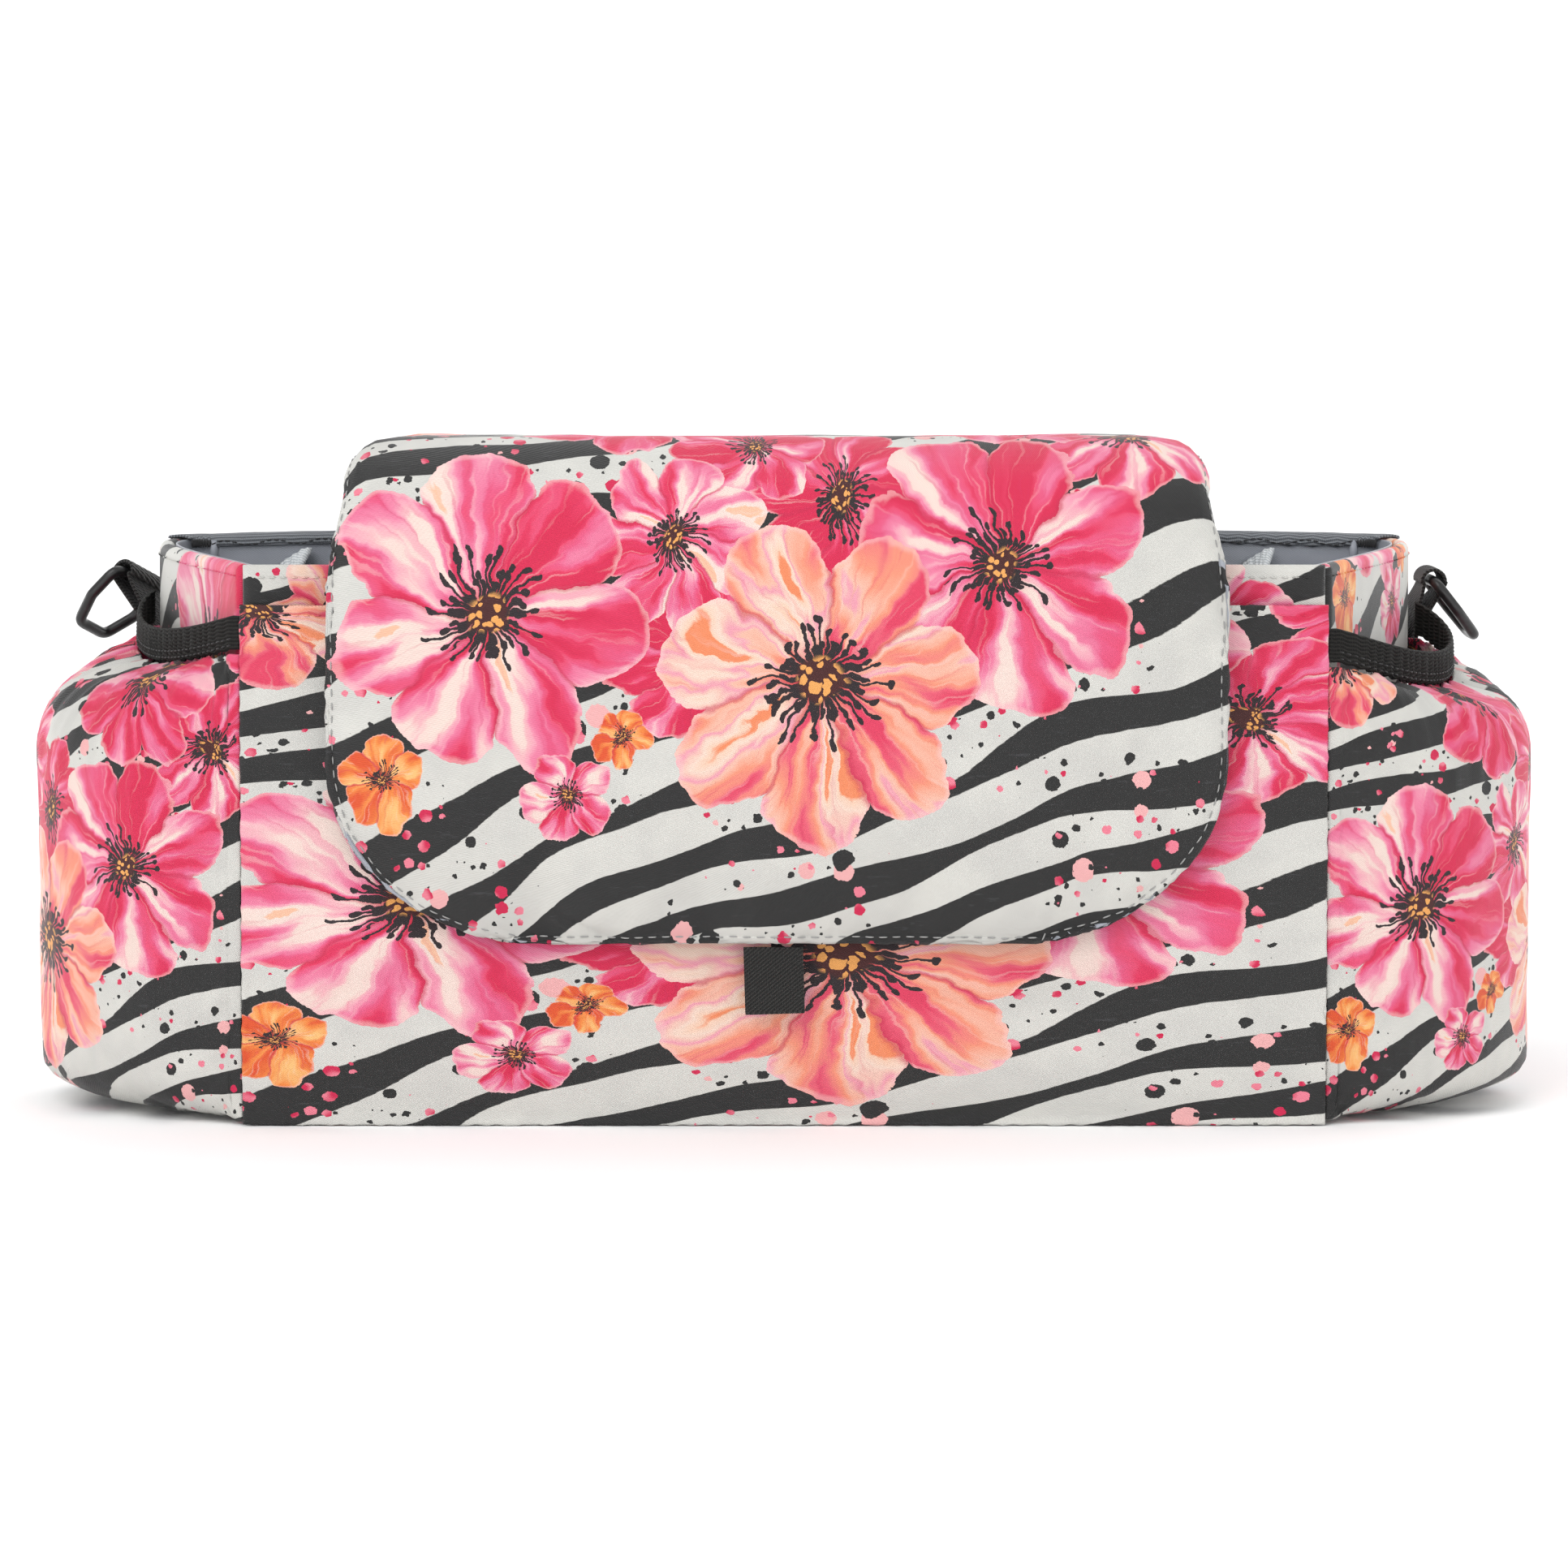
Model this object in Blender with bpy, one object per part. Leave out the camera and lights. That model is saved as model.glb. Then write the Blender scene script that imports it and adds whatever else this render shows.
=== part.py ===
"""A stroller-style diaper caddy: padded body, bulging side pockets, arched flap, rings and straps.

Metres, +Z up. The front faces -Y. The origin is under the middle of the caddy, on the surface it
stands on. Each sewn piece is its own closed solid, and neighbours that touch stand GAP apart.
"""

import math

import bmesh
import bpy
from mathutils import Vector

# Body
GAP = 0.0003
BODY_DEPTH = 0.124
RIM_Z = 0.157
FRONT_HALF = 0.151
BACK_HALF = 0.168
END_FRONT_PULL = (0.014, 0.042)
END_BACK_PULL = 0.034

# Thickness of the wall layers, from the outside in
SHELL = 0.0010
FOAM = 0.0030
LINING = 0.0008
BOARD = 0.0020
FOAM_TOP = RIM_Z - 0.002

# Front slip pocket
FRONT_POCKET_TOP = 0.146
FRONT_POCKET_ROOM = 0.0055
FRONT_POCKET_HALF = FRONT_HALF - 0.0015
FRONT_POCKET_SWELL_Z = 0.030
FRONT_POCKET_HEIGHTS = (0.0, 0.006, 0.014, FRONT_POCKET_SWELL_Z, 0.088, FRONT_POCKET_TOP)
FRONT_POCKET_SQUARENESS = 6
CLOTH = 0.0010

# Hook-and-loop closure of the flap
PATCH = 0.0012
PATCH_HALF = 0.026
PATCH_Z = (0.060, 0.086)

# Flap
FLAP_CENTRE_X = -0.002
FLAP_HALF = 0.125
FLAP_BOTTOM = 0.0525
FLAP_TOP = 0.1868
FLAP_CORNER = (0.060, 0.052)
FLAP_LAYERS = (("flap_lining", 0.0008), ("flap_foam", 0.0020), ("flap_outer", 0.0010))
FLAP_FOLD = (0.022, 0.032)
FLAP_RISE_PULL = 0.022
FLAP_TOP_PULL = 0.060
FLAP_HANG_Z = (0.140, 0.122)
FLAP_HINGE_Z = 0.146
FLAP_RISE_Z = 0.1605

# Pull tab
TAB_WIDTH = 0.017
TAB_LENGTH = 0.0185
TAB_HINGE_DROP = 0.0013
TAB_THICK = 0.0008
TAB_TURN = 0.0006
TAB_X = -0.003

# Side pockets and their elastic mouths
POCKET_SPAN = (0.015, 0.70)
POCKET_BULGE = 0.0405
POCKET_SHARPNESS = 0.75
POCKET_FOOT_Z = 0.0013
POCKET_FOOT_RISE = 0.012
POCKET_SHOULDER_Z = 0.101
ELASTIC_FOOT_Z = {"left": 0.1335, "right": 0.1300}
ELASTIC_SAG = {"left": 0.0070, "right": 0.0100}
ELASTIC_HEIGHT = 0.0095
ELASTIC_THICK = 0.0016
MOUTH_ROOM = {"left": 0.0085, "right": 0.0165}

# Inner dividers
DIVIDER_X = {"left": -0.143, "right": 0.139}
DIVIDER_THICK = 0.0012
DIVIDER_END_Z = 0.1495
DIVIDER_SAG = 0.017
TAPE_HEIGHT = 0.0065
TAPE_THICK = 0.0030

# Binding on the back rim
BINDING = 0.0008
BINDING_DROP = 0.0045
BINDING_SHORT = 0.002

# Rings and the webbing loops that hold them
RING_WIRE = 0.0016
RING_BAR = 0.0212
RING_REACH = 0.0200
RING_FAR = 0.0125
RING_SHOULDER = (0.98, 0.55)
RING_TURN = 0.0022
RING_SIDES = 2
LOOP_WIDTH = 0.016
LOOP_THICK = 0.0011
LOOP_RADIUS = 0.0034
LOOP_DROPS = (0.0260, 0.0156)
LOOP_T = 0.81
RING_Z = 0.1445
RING_OUT = 0.0100
RING_LEAN = {"left": 50.0, "right": 52.0}
RING_YAW = {"left": 34.0, "right": 4.0}
RING_ROLL = {"left": 22.0, "right": 0.0}

# Straps that hold the caddy on a stroller's handle
STRAP_X = {"left": -0.078, "right": 0.078}
STRAP_WIDTH = 0.025
STRAP_THICK = 0.0018
STRAP_TOP = 0.106
STRAP_SEWN = 0.002
ANCHOR_HEIGHT = 0.018
STRAP_LOOP_HEIGHT = 0.044
STRAP_DEPTH = 0.0215
STRAP_TAIL = 0.030
STRAP_PATCH = 0.0010
STRAP_PATCH_WIDTH = 0.9 * STRAP_WIDTH
STRAP_PATCH_DROP = 0.003

# Planes that follow from the sizes above
FLAP_ROOM = FRONT_POCKET_ROOM + CLOTH + 2 * PATCH + 4 * GAP
FLAP_THICK = sum(layer[1] for layer in FLAP_LAYERS) + 2 * GAP
FRONT_REACH = FLAP_ROOM + FLAP_THICK
FRONT_Y = FRONT_REACH - (BODY_DEPTH + FRONT_REACH + STRAP_DEPTH) / 2
BACK_Y = FRONT_Y + BODY_DEPTH
FLAP_BACK_Y = BACK_Y + BINDING + 2 * GAP
FLAP_HINGE = (FLAP_CENTRE_X, FLAP_BACK_Y + FLAP_THICK, FLAP_HINGE_Z)
SHELL_IN = SHELL + GAP
FOAM_IN = SHELL_IN + FOAM
LINING_OUT = FOAM_IN + GAP
LINING_IN = LINING_OUT + LINING
SIDES = {"left": -1.0, "right": 1.0}

COLOURS = {
    "print_cloth": ((0.80, 0.42, 0.46), 0.62),
    "lining_cloth": ((0.19, 0.21, 0.24), 0.50),
    "light_tape": ((0.50, 0.53, 0.55), 0.75),
    "dark_tape": ((0.09, 0.10, 0.11), 0.75),
    "black_elastic": ((0.012, 0.012, 0.012), 0.80),
    "black_webbing": ((0.012, 0.012, 0.012), 0.70),
    "black_plastic": ((0.015, 0.015, 0.015), 0.35),
    "hook_and_loop": ((0.020, 0.020, 0.022), 0.90),
    "foam": ((0.70, 0.70, 0.68), 0.90),
    "board": ((0.30, 0.31, 0.32), 0.55),
}


def clear_scene():
    """Starts from an empty scene."""
    for item in list(bpy.data.objects):
        bpy.data.objects.remove(item, do_unlink=True)


def material(name, kind):
    """A Principled material of one of the caddy's finishes."""
    colour, roughness = COLOURS[kind]
    made = bpy.data.materials.new(name)
    made.use_nodes = True
    shader = made.node_tree.nodes["Principled BSDF"]
    shader.inputs["Base Color"].default_value = (*colour, 1.0)
    shader.inputs["Roughness"].default_value = roughness
    shader.inputs["Metallic"].default_value = 0.0
    made.diffuse_color = (*colour, 1.0)
    return made


def add_object(name, mesh, kind, origin=(0.0, 0.0, 0.0)):
    """Links a mesh that is in world coordinates as an object whose origin is at the given point."""
    origin = Vector(origin)
    for vertex in mesh.vertices:
        vertex.co -= origin
    mesh.materials.append(material(name, kind))
    made = bpy.data.objects.new(name, mesh)
    made.location = origin
    bpy.context.collection.objects.link(made)
    return made


def solidify(made, thickness, offset):
    """Gives an open sheet its thickness."""
    layer = made.modifiers.new("thickness", "SOLIDIFY")
    layer.thickness = thickness
    layer.offset = offset
    layer.use_even_offset = True
    layer.use_quality_normals = True
    return made


def sheet(name, rows, thickness, offset, kind, origin=(0.0, 0.0, 0.0)):
    """A solid sheet through a grid of points. Offset 1 grows it along the grid's normals."""
    grid = bmesh.new()
    points = [[grid.verts.new(point) for point in row] for row in rows]
    for lower, upper in zip(points, points[1:]):
        for i in range(len(lower) - 1):
            grid.faces.new((lower[i], lower[i + 1], upper[i + 1], upper[i]))
    mesh = bpy.data.meshes.new(name)
    grid.to_mesh(mesh)
    grid.free()
    return solidify(add_object(name, mesh, kind, origin), thickness, offset)


def ribbon(name, centres, halves, thickness, kind, origin=(0.0, 0.0, 0.0), offset=0.0):
    """A strip of webbing or tape along a line of centres, with its half width as a vector at each."""
    rows = [(Vector(c) - Vector(h), Vector(c) + Vector(h)) for c, h in zip(centres, halves)]
    return sheet(name, rows, thickness, offset, kind, origin)


def prism(name, outline, bottom, top, kind):
    """An upright solid over a plan outline that runs anticlockwise seen from above."""
    solid = bmesh.new()
    base = solid.faces.new([solid.verts.new((x, y, bottom)) for x, y in outline])
    grown = bmesh.ops.extrude_face_region(solid, geom=[base])
    raised = [item for item in grown["geom"] if isinstance(item, bmesh.types.BMVert)]
    bmesh.ops.translate(solid, verts=raised, vec=(0.0, 0.0, top - bottom))
    bmesh.ops.recalc_face_normals(solid, faces=solid.faces)
    mesh = bpy.data.meshes.new(name)
    solid.to_mesh(mesh)
    solid.free()
    return add_object(name, mesh, kind)


def slab(name, low, high, kind, origin=(0.0, 0.0, 0.0)):
    """A flat rectangular piece between two corners."""
    solid = bmesh.new()
    bmesh.ops.create_cube(solid, size=1.0)
    size = Vector(high) - Vector(low)
    middle = (Vector(high) + Vector(low)) / 2
    for vertex in solid.verts:
        vertex.co = Vector(a * b for a, b in zip(vertex.co, size)) + middle
    mesh = bpy.data.meshes.new(name)
    solid.to_mesh(mesh)
    solid.free()
    return add_object(name, mesh, kind, origin)


def end_point(side, t, inset=0.0):
    """A plan point of an end wall: t runs from the front seam to the back one, inset goes inwards."""
    controls = (
        (FRONT_HALF, FRONT_Y),
        (FRONT_HALF + END_FRONT_PULL[0], FRONT_Y + END_FRONT_PULL[1]),
        (BACK_HALF + END_BACK_PULL, BACK_Y),
        (BACK_HALF, BACK_Y),
    )
    s = 1.0 - t
    weights = (s**3, 3 * s * s * t, 3 * s * t * t, t**3)
    slopes = (-3 * s * s, 3 * s * s - 6 * s * t, 6 * s * t - 3 * t * t, 3 * t * t)
    x, y = (sum(w * c[i] for w, c in zip(weights, controls)) for i in (0, 1))
    dx, dy = (sum(w * c[i] for w, c in zip(slopes, controls)) for i in (0, 1))
    length = math.hypot(dx, dy)
    return side * (x - inset * dy / length), y + inset * dx / length


def end_normal(side, t):
    """The outward direction of an end wall at t."""
    outer, inner = end_point(side, t), end_point(side, t, 0.001)
    return Vector((outer[0] - inner[0], outer[1] - inner[1], 0.0)).normalized()


def end_start(inset, y):
    """The t at which an end wall's inset line reaches a given y, found by halving."""
    low, high = 0.0, 0.5
    for _ in range(40):
        middle = (low + high) / 2
        if end_point(1.0, middle, inset)[1] < y:
            low = middle
        else:
            high = middle
    return high


def end_line(side, inset, start, steps=14):
    """Plan points of an end wall's inset line, from start to the back wall."""
    return [end_point(side, start + (1.0 - start) * i / steps, inset) for i in range(steps + 1)]


def wall_layer(layer, outer, thickness, bottom, top, kind):
    """One layer of the four walls: a front and a back slab and two curved ends."""
    inner = outer + thickness
    front_half = end_point(1.0, end_start(outer, FRONT_Y + outer), outer)[0]
    slab(
        "front_" + layer,
        (-front_half, FRONT_Y + outer, bottom),
        (front_half, FRONT_Y + inner, top),
        kind,
    )
    back_half = BACK_HALF - GAP
    slab(
        "back_" + layer,
        (-back_half, BACK_Y - inner, bottom),
        (back_half, BACK_Y - outer, top),
        kind,
    )
    start = end_start(outer, FRONT_Y + inner + GAP)
    for name, side in SIDES.items():
        outline = end_line(side, outer, start) + end_line(side, inner, start)[::-1]
        prism(f"{name}_end_{layer}", outline, bottom, top, kind)


def floor_outline(inset):
    """The plan outline of a bottom piece that lies inside the walls' inset line."""
    start = end_start(inset, FRONT_Y + inset)
    right = end_line(1.0, inset, start)
    return right + [(-x, y) for x, y in reversed(right)]


def build_body():
    """Outer cloth, foam and lining of the walls, and the bottom with its stiffening board."""
    board_z = SHELL + GAP
    lining_z = board_z + BOARD + GAP
    wall_layer("panel", 0.0, SHELL, 0.0, RIM_Z, "print_cloth")
    wall_layer("foam", SHELL_IN, FOAM, lining_z, FOAM_TOP, "foam")
    wall_layer("lining", LINING_OUT, LINING, lining_z + LINING + GAP, RIM_Z, "lining_cloth")
    prism("base_panel", floor_outline(SHELL_IN), 0.0, SHELL, "print_cloth")
    prism("base_board", floor_outline(SHELL_IN), board_z, board_z + BOARD, "board")
    prism("base_lining", floor_outline(LINING_OUT), lining_z, lining_z + LINING, "lining_cloth")


def build_rim_binding():
    """The tape folded over the back wall's top edge, an inverted U in section."""
    half = BACK_HALF - BINDING_SHORT
    outer, inner = BACK_Y + GAP, BACK_Y - LINING_IN - GAP
    top, foot = RIM_Z + GAP, RIM_Z - BINDING_DROP
    section = [(outer, foot), (outer, top), (inner, top), (inner, foot)]
    rows = [[(-half, y, z), (half, y, z)] for y, z in section]
    sheet("back_rim_binding", rows, BINDING, -1.0, "dark_tape")


def front_pocket_room(x, z):
    """How far the front pocket stands off the front wall."""
    across = 1.0 - abs(x / FRONT_POCKET_HALF) ** FRONT_POCKET_SQUARENESS
    up = 1.0 - max(0.0, 1.0 - z / FRONT_POCKET_SWELL_Z) ** 2
    return GAP + FRONT_POCKET_ROOM * across * up


def build_front_pocket():
    """The full-width slip pocket on the front wall."""
    across = [math.sin(math.radians(a)) * FRONT_POCKET_HALF for a in range(-90, 91, 12)]
    rows = [[(x, FRONT_Y - front_pocket_room(x, z), z) for x in across] for z in FRONT_POCKET_HEIGHTS]
    sheet("front_pocket", rows, CLOTH, 1.0, "print_cloth")


def pocket_t(u):
    """The end wall's t under a side pocket's u."""
    return POCKET_SPAN[0] + (POCKET_SPAN[1] - POCKET_SPAN[0]) * u


def mouth_foot(name, u):
    """The height of the elastic's lower edge, which sags between its two seams."""
    return ELASTIC_FOOT_Z[name] - ELASTIC_SAG[name] * math.sin(math.pi * u)


def mouth_room(name, u):
    """How far the elastic stands off the end wall."""
    return GAP + ELASTIC_THICK / 2 + MOUTH_ROOM[name] * math.sin(math.pi * u) ** POCKET_SHARPNESS


def pocket_profile(name, u):
    """Pairs of stand-off and height up a side pocket: a rounded foot, an upright wall and a shoulder."""
    bulge = POCKET_BULGE * math.sin(math.pi * u) ** POCKET_SHARPNESS
    top = mouth_foot(name, u) - GAP - CLOTH
    profile = []
    for a in range(0, 91, 18):
        turn = math.radians(a)
        rise = POCKET_FOOT_RISE * (1.0 - math.cos(turn))
        profile.append((bulge * math.sin(turn), POCKET_FOOT_Z + rise))
    profile.append((bulge, (POCKET_FOOT_Z + POCKET_FOOT_RISE + POCKET_SHOULDER_Z) / 2))
    mouth = min(mouth_room(name, u) - GAP, bulge)
    for a in range(0, 91, 18):
        turn = math.radians(a)
        out = mouth + (bulge - mouth) * math.cos(turn)
        profile.append((out, POCKET_SHOULDER_Z + (top - POCKET_SHOULDER_Z) * math.sin(turn)))
    return profile


def pocket_columns(count=14):
    """Values of u across a pocket, closer together at the seams."""
    return [0.5 - 0.5 * math.cos(math.pi * (0.06 + 0.88 * i / count)) for i in range(count + 1)]


def build_side_pocket(name, side):
    """A bulging pocket over an end wall."""
    columns = []
    for u in pocket_columns():
        base = Vector((*end_point(side, pocket_t(u)), 0.0))
        out = end_normal(side, pocket_t(u))
        profile = pocket_profile(name, u)
        columns.append([base + out * (GAP + off) + Vector((0, 0, z)) for off, z in profile])
    rows = [list(row) for row in zip(*columns)]
    sheet(f"{name}_pocket", rows, CLOTH, side, "print_cloth")


def build_pocket_elastic(name, side):
    """The elastic that gathers a side pocket's mouth."""
    rows = [[], []]
    for u in pocket_columns():
        base = Vector((*end_point(side, pocket_t(u)), mouth_foot(name, u)))
        middle = base + end_normal(side, pocket_t(u)) * mouth_room(name, u)
        rows[0].append(middle)
        rows[1].append(middle + Vector((0, 0, ELASTIC_HEIGHT)))
    sheet(f"{name}_pocket_elastic", rows, ELASTIC_THICK, 0.0, "black_elastic")


def divider_top(y):
    """The height of a divider's sagging top edge."""
    low, high = FRONT_Y + LINING_IN, BACK_Y - LINING_IN
    across = (2 * y - low - high) / (high - low)
    return DIVIDER_END_Z - DIVIDER_SAG * (1.0 - across * across)


def build_divider(name):
    """An inner divider between the front and back linings, with a tape along its top edge."""
    x = DIVIDER_X[name]
    low = FRONT_Y + LINING_IN + GAP
    high = BACK_Y - LINING_IN - GAP - BINDING - GAP
    line = [low + (high - low) * i / 12 for i in range(13)]
    foot = SHELL + BOARD + LINING + 3 * GAP
    rows = [[(x, y, foot) for y in line], [(x, y, divider_top(y)) for y in line]]
    sheet(f"{name}_divider", rows, DIVIDER_THICK, 0.0, "lining_cloth")
    bottom = [(x, y, divider_top(y) + GAP) for y in line]
    top = [(x, y, divider_top(y) + GAP + TAPE_HEIGHT) for y in line]
    sheet(f"{name}_divider_tape", [bottom, top], TAPE_THICK, 0.0, "light_tape")


def flap_line(inset):
    """The flap's section from the hinge over the top to the lower edge, inset outwards from its inner face."""
    back = FLAP_BACK_Y
    front = FRONT_Y - FLAP_ROOM
    fold_y = front + FLAP_FOLD[0]
    rise = [(back, FLAP_HINGE_Z), (back, FLAP_RISE_Z)]
    start = Vector((back, FLAP_RISE_Z))
    pull = (
        Vector((back, FLAP_RISE_Z + FLAP_RISE_PULL)),
        Vector((fold_y + FLAP_TOP_PULL, FLAP_TOP)),
    )
    end = Vector((fold_y, FLAP_TOP))
    dome = []
    for i in range(1, 15):
        t = i / 14
        s = 1.0 - t
        point = start * s**3 + pull[0] * (3 * s * s * t) + pull[1] * (3 * s * t * t) + end * t**3
        dome.append(tuple(point))
    fold = []
    for a in range(15, 91, 15):
        turn = math.radians(a)
        drop = FLAP_FOLD[1] * (1.0 - math.cos(turn))
        fold.append((fold_y - FLAP_FOLD[0] * math.sin(turn), FLAP_TOP - drop))
    hang = [(front, z) for z in FLAP_HANG_Z]
    corner = []
    for a in range(0, 91, 10):
        corner.append((front, FLAP_BOTTOM + FLAP_CORNER[1] * (1.0 - math.sin(math.radians(a)))))
    line = [Vector(point) for point in rise + dome + fold + hang + corner]
    moved = []
    for before, point, after in zip(line[:1] + line, line, line[1:] + line[-1:]):
        along = (after - before).normalized()
        moved.append(point + Vector((along.y, -along.x)) * inset)
    return moved


def flap_half(z, hanging):
    """Half the flap's width, which shrinks round its lower corners."""
    if not hanging or z > FLAP_BOTTOM + FLAP_CORNER[1]:
        return FLAP_HALF
    drop = 1.0 - (z - FLAP_BOTTOM) / FLAP_CORNER[1]
    return FLAP_HALF - FLAP_CORNER[0] * (1.0 - math.sqrt(max(0.0, 1.0 - drop * drop)))


def build_flap():
    """The padded flap: lining, foam and printed outer cloth, one inside the other."""
    kinds = {"flap_lining": "lining_cloth", "flap_foam": "foam", "flap_outer": "print_cloth"}
    inset = 0.0
    for name, thickness in FLAP_LAYERS:
        rows = []
        for y, z in flap_line(inset):
            half = flap_half(z, y < FRONT_Y)
            rows.append([(FLAP_CENTRE_X - half, y, z), (FLAP_CENTRE_X + half, y, z)])
        sheet(name, rows, thickness, -1.0, kinds[name], FLAP_HINGE)
        inset += thickness + GAP


def build_closure():
    """Hook patch on the flap's lining and loop patch on the front pocket."""
    loop_back = FRONT_Y - FRONT_POCKET_ROOM - CLOTH - 2 * GAP
    hook_back = loop_back - PATCH - GAP
    patches = (
        ("front_loop_patch", loop_back, (0.0, 0.0, 0.0)),
        ("flap_hook_patch", hook_back, FLAP_HINGE),
    )
    for name, back, origin in patches:
        low = (FLAP_CENTRE_X - PATCH_HALF, back - PATCH, PATCH_Z[0])
        high = (FLAP_CENTRE_X + PATCH_HALF, back, PATCH_Z[1])
        slab(name, low, high, "hook_and_loop", origin)


def build_pull_tab():
    """A loop of webbing pressed flat, which hangs from the flap's lower edge."""
    middle = FRONT_Y - FLAP_ROOM - FLAP_THICK / 2
    hinge_z = FLAP_BOTTOM - TAB_HINGE_DROP
    head_z = hinge_z + GAP
    turn = TAB_TURN
    foot = hinge_z - TAB_LENGTH + turn + TAB_THICK / 2
    centres = [(TAB_X, middle - turn, head_z), (TAB_X, middle - turn, foot)]
    for a in range(30, 180, 30):
        across, drop = turn * math.cos(math.radians(a)), turn * math.sin(math.radians(a))
        centres.append((TAB_X, middle - across, foot - drop))
    centres += [(TAB_X, middle + turn, foot), (TAB_X, middle + turn, head_z)]
    halves = [(TAB_WIDTH / 2, 0.0, 0.0)] * len(centres)
    ribbon("pull_tab", centres, halves, TAB_THICK, "black_webbing", (TAB_X, middle, hinge_z))


def ring_frame(name):
    """A ring's bar centre, and its bar, outward, downward and reach directions."""
    side = SIDES[name]
    yaw, roll, lean = (math.radians(table[name]) for table in (RING_YAW, RING_ROLL, RING_LEAN))
    facing = Vector((math.cos(yaw), math.sin(yaw), 0.0))
    along = Vector((-math.sin(yaw), math.cos(yaw), 0.0))
    bar = along * math.cos(roll) - Vector((0.0, 0.0, math.sin(roll)))
    down = -facing.cross(bar)
    reach = facing * math.cos(lean) + down * math.sin(lean)
    base = Vector((*end_point(side, LOOP_T), RING_Z)) + end_normal(side, LOOP_T) * RING_OUT
    return (base, *(Vector((side * way.x, way.y, way.z)) for way in (bar, facing, down, reach)))


def rounded_loop(corners, radius, steps=3):
    """A closed line through corners whose turns are rounded by arcs of one radius."""
    line = []
    count = len(corners)
    for i, corner in enumerate(corners):
        before = (corners[i - 1] - corner).normalized()
        after = (corners[(i + 1) % count] - corner).normalized()
        half = before.angle(after) / 2
        start = corner + before * (radius / math.tan(half))
        finish = corner + after * (radius / math.tan(half))
        centre = corner + (before + after).normalized() * (radius / math.sin(half))
        for k in range(steps + 1):
            way = (start - centre).lerp(finish - centre, k / steps).normalized()
            line.append(centre + way * radius)
    return line


def build_ring(name):
    """A moulded ring: a straight bar inside the webbing loop and a narrower far side."""
    centre, bar, _, _, reach = ring_frame(name)
    near, far = bar * (RING_BAR / 2), bar * (RING_FAR / 2)
    shoulder, half_way = near * RING_SHOULDER[0], reach * (RING_REACH * RING_SHOULDER[1])
    corners = [-near, near, shoulder + half_way, far + reach * RING_REACH]
    corners += [-far + reach * RING_REACH, -shoulder + half_way]
    line = rounded_loop(corners, RING_TURN)
    path = bpy.data.curves.new(f"{name}_d_ring", "CURVE")
    path.dimensions = "3D"
    path.bevel_depth = RING_WIRE
    path.bevel_resolution = RING_SIDES
    spline = path.splines.new("POLY")
    spline.points.add(len(line) - 1)
    for point, place in zip(spline.points, line):
        point.co = (*place, 1.0)
    spline.use_cyclic_u = True
    path.materials.append(material(f"{name}_d_ring", "black_plastic"))
    made = bpy.data.objects.new(f"{name}_d_ring", path)
    made.location = centre
    bpy.context.collection.objects.link(made)


def build_ring_loop(name):
    """Webbing sewn to the end wall, folded round a ring's bar and back down on itself."""
    side = SIDES[name]
    centre, bar, facing, down, _ = ring_frame(name)
    out = end_normal(side, LOOP_T)
    foot = Vector((*end_point(side, LOOP_T), RING_Z))
    along = Vector((-out.y * side, out.x * side, 0.0))
    inner = GAP + LOOP_THICK / 2
    outer = inner + LOOP_THICK + GAP
    half = LOOP_WIDTH / 2
    centres = [foot + out * inner - Vector((0, 0, drop)) for drop in LOOP_DROPS]
    halves = [along * half] * 2
    for a in range(-30, 211, 24):
        turn = math.radians(a)
        centres.append(centre + (-facing * math.cos(turn) - down * math.sin(turn)) * LOOP_RADIUS)
        halves.append(bar * half)
    centres += [foot + out * outer - Vector((0, 0, drop)) for drop in reversed(LOOP_DROPS)]
    halves += [along * half] * 2
    ribbon(f"{name}_ring_loop", centres, halves, LOOP_THICK, "black_webbing")


def build_stroller_strap(name):
    """A strap sewn to the back wall that loops round a stroller's handle and closes by hook and loop."""
    x = STRAP_X[name]
    half = STRAP_WIDTH / 2
    wall = BACK_Y + GAP
    rest = wall + STRAP_THICK / 2
    tail = rest + 2 * (STRAP_PATCH + GAP)
    low_z = STRAP_TOP - STRAP_LOOP_HEIGHT
    hinge = (x, rest, STRAP_TOP)
    slab(
        f"{name}_strap_anchor",
        (x - half, wall, STRAP_TOP + STRAP_THICK / 2 + GAP),
        (x + half, wall + STRAP_THICK, STRAP_TOP + ANCHOR_HEIGHT),
        "black_webbing",
    )
    reach = STRAP_DEPTH - GAP - STRAP_THICK
    head_z = STRAP_TOP - STRAP_SEWN
    centres = [(x, rest, STRAP_TOP)]
    for i in range(17):
        turn = math.pi * i / 16
        side_room = rest + (tail - rest) * i / 16
        bow = (reach - (side_room - rest)) * math.sin(turn)
        height = (head_z + low_z) / 2 + (head_z - low_z) / 2 * math.cos(turn)
        centres.append((x, side_room + bow, height))
    centres.append((x, tail, low_z - STRAP_TAIL / 2))
    centres.append((x, tail, low_z - STRAP_TAIL))
    halves = [(half, 0.0, 0.0)] * len(centres)
    ribbon(f"{name}_stroller_strap", centres, halves, STRAP_THICK, "black_webbing", hinge)
    loop_y = wall + STRAP_PATCH
    hook_y = loop_y + GAP
    foot, head = low_z - STRAP_TAIL, low_z - STRAP_PATCH_DROP
    left, right = x - STRAP_PATCH_WIDTH / 2, x + STRAP_PATCH_WIDTH / 2
    slab(f"{name}_strap_loop_patch", (left, wall, foot), (right, loop_y, head), "hook_and_loop")
    low, high = (left, hook_y, foot), (right, hook_y + STRAP_PATCH, head)
    slab(f"{name}_strap_hook_patch", low, high, "hook_and_loop", hinge)


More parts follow.
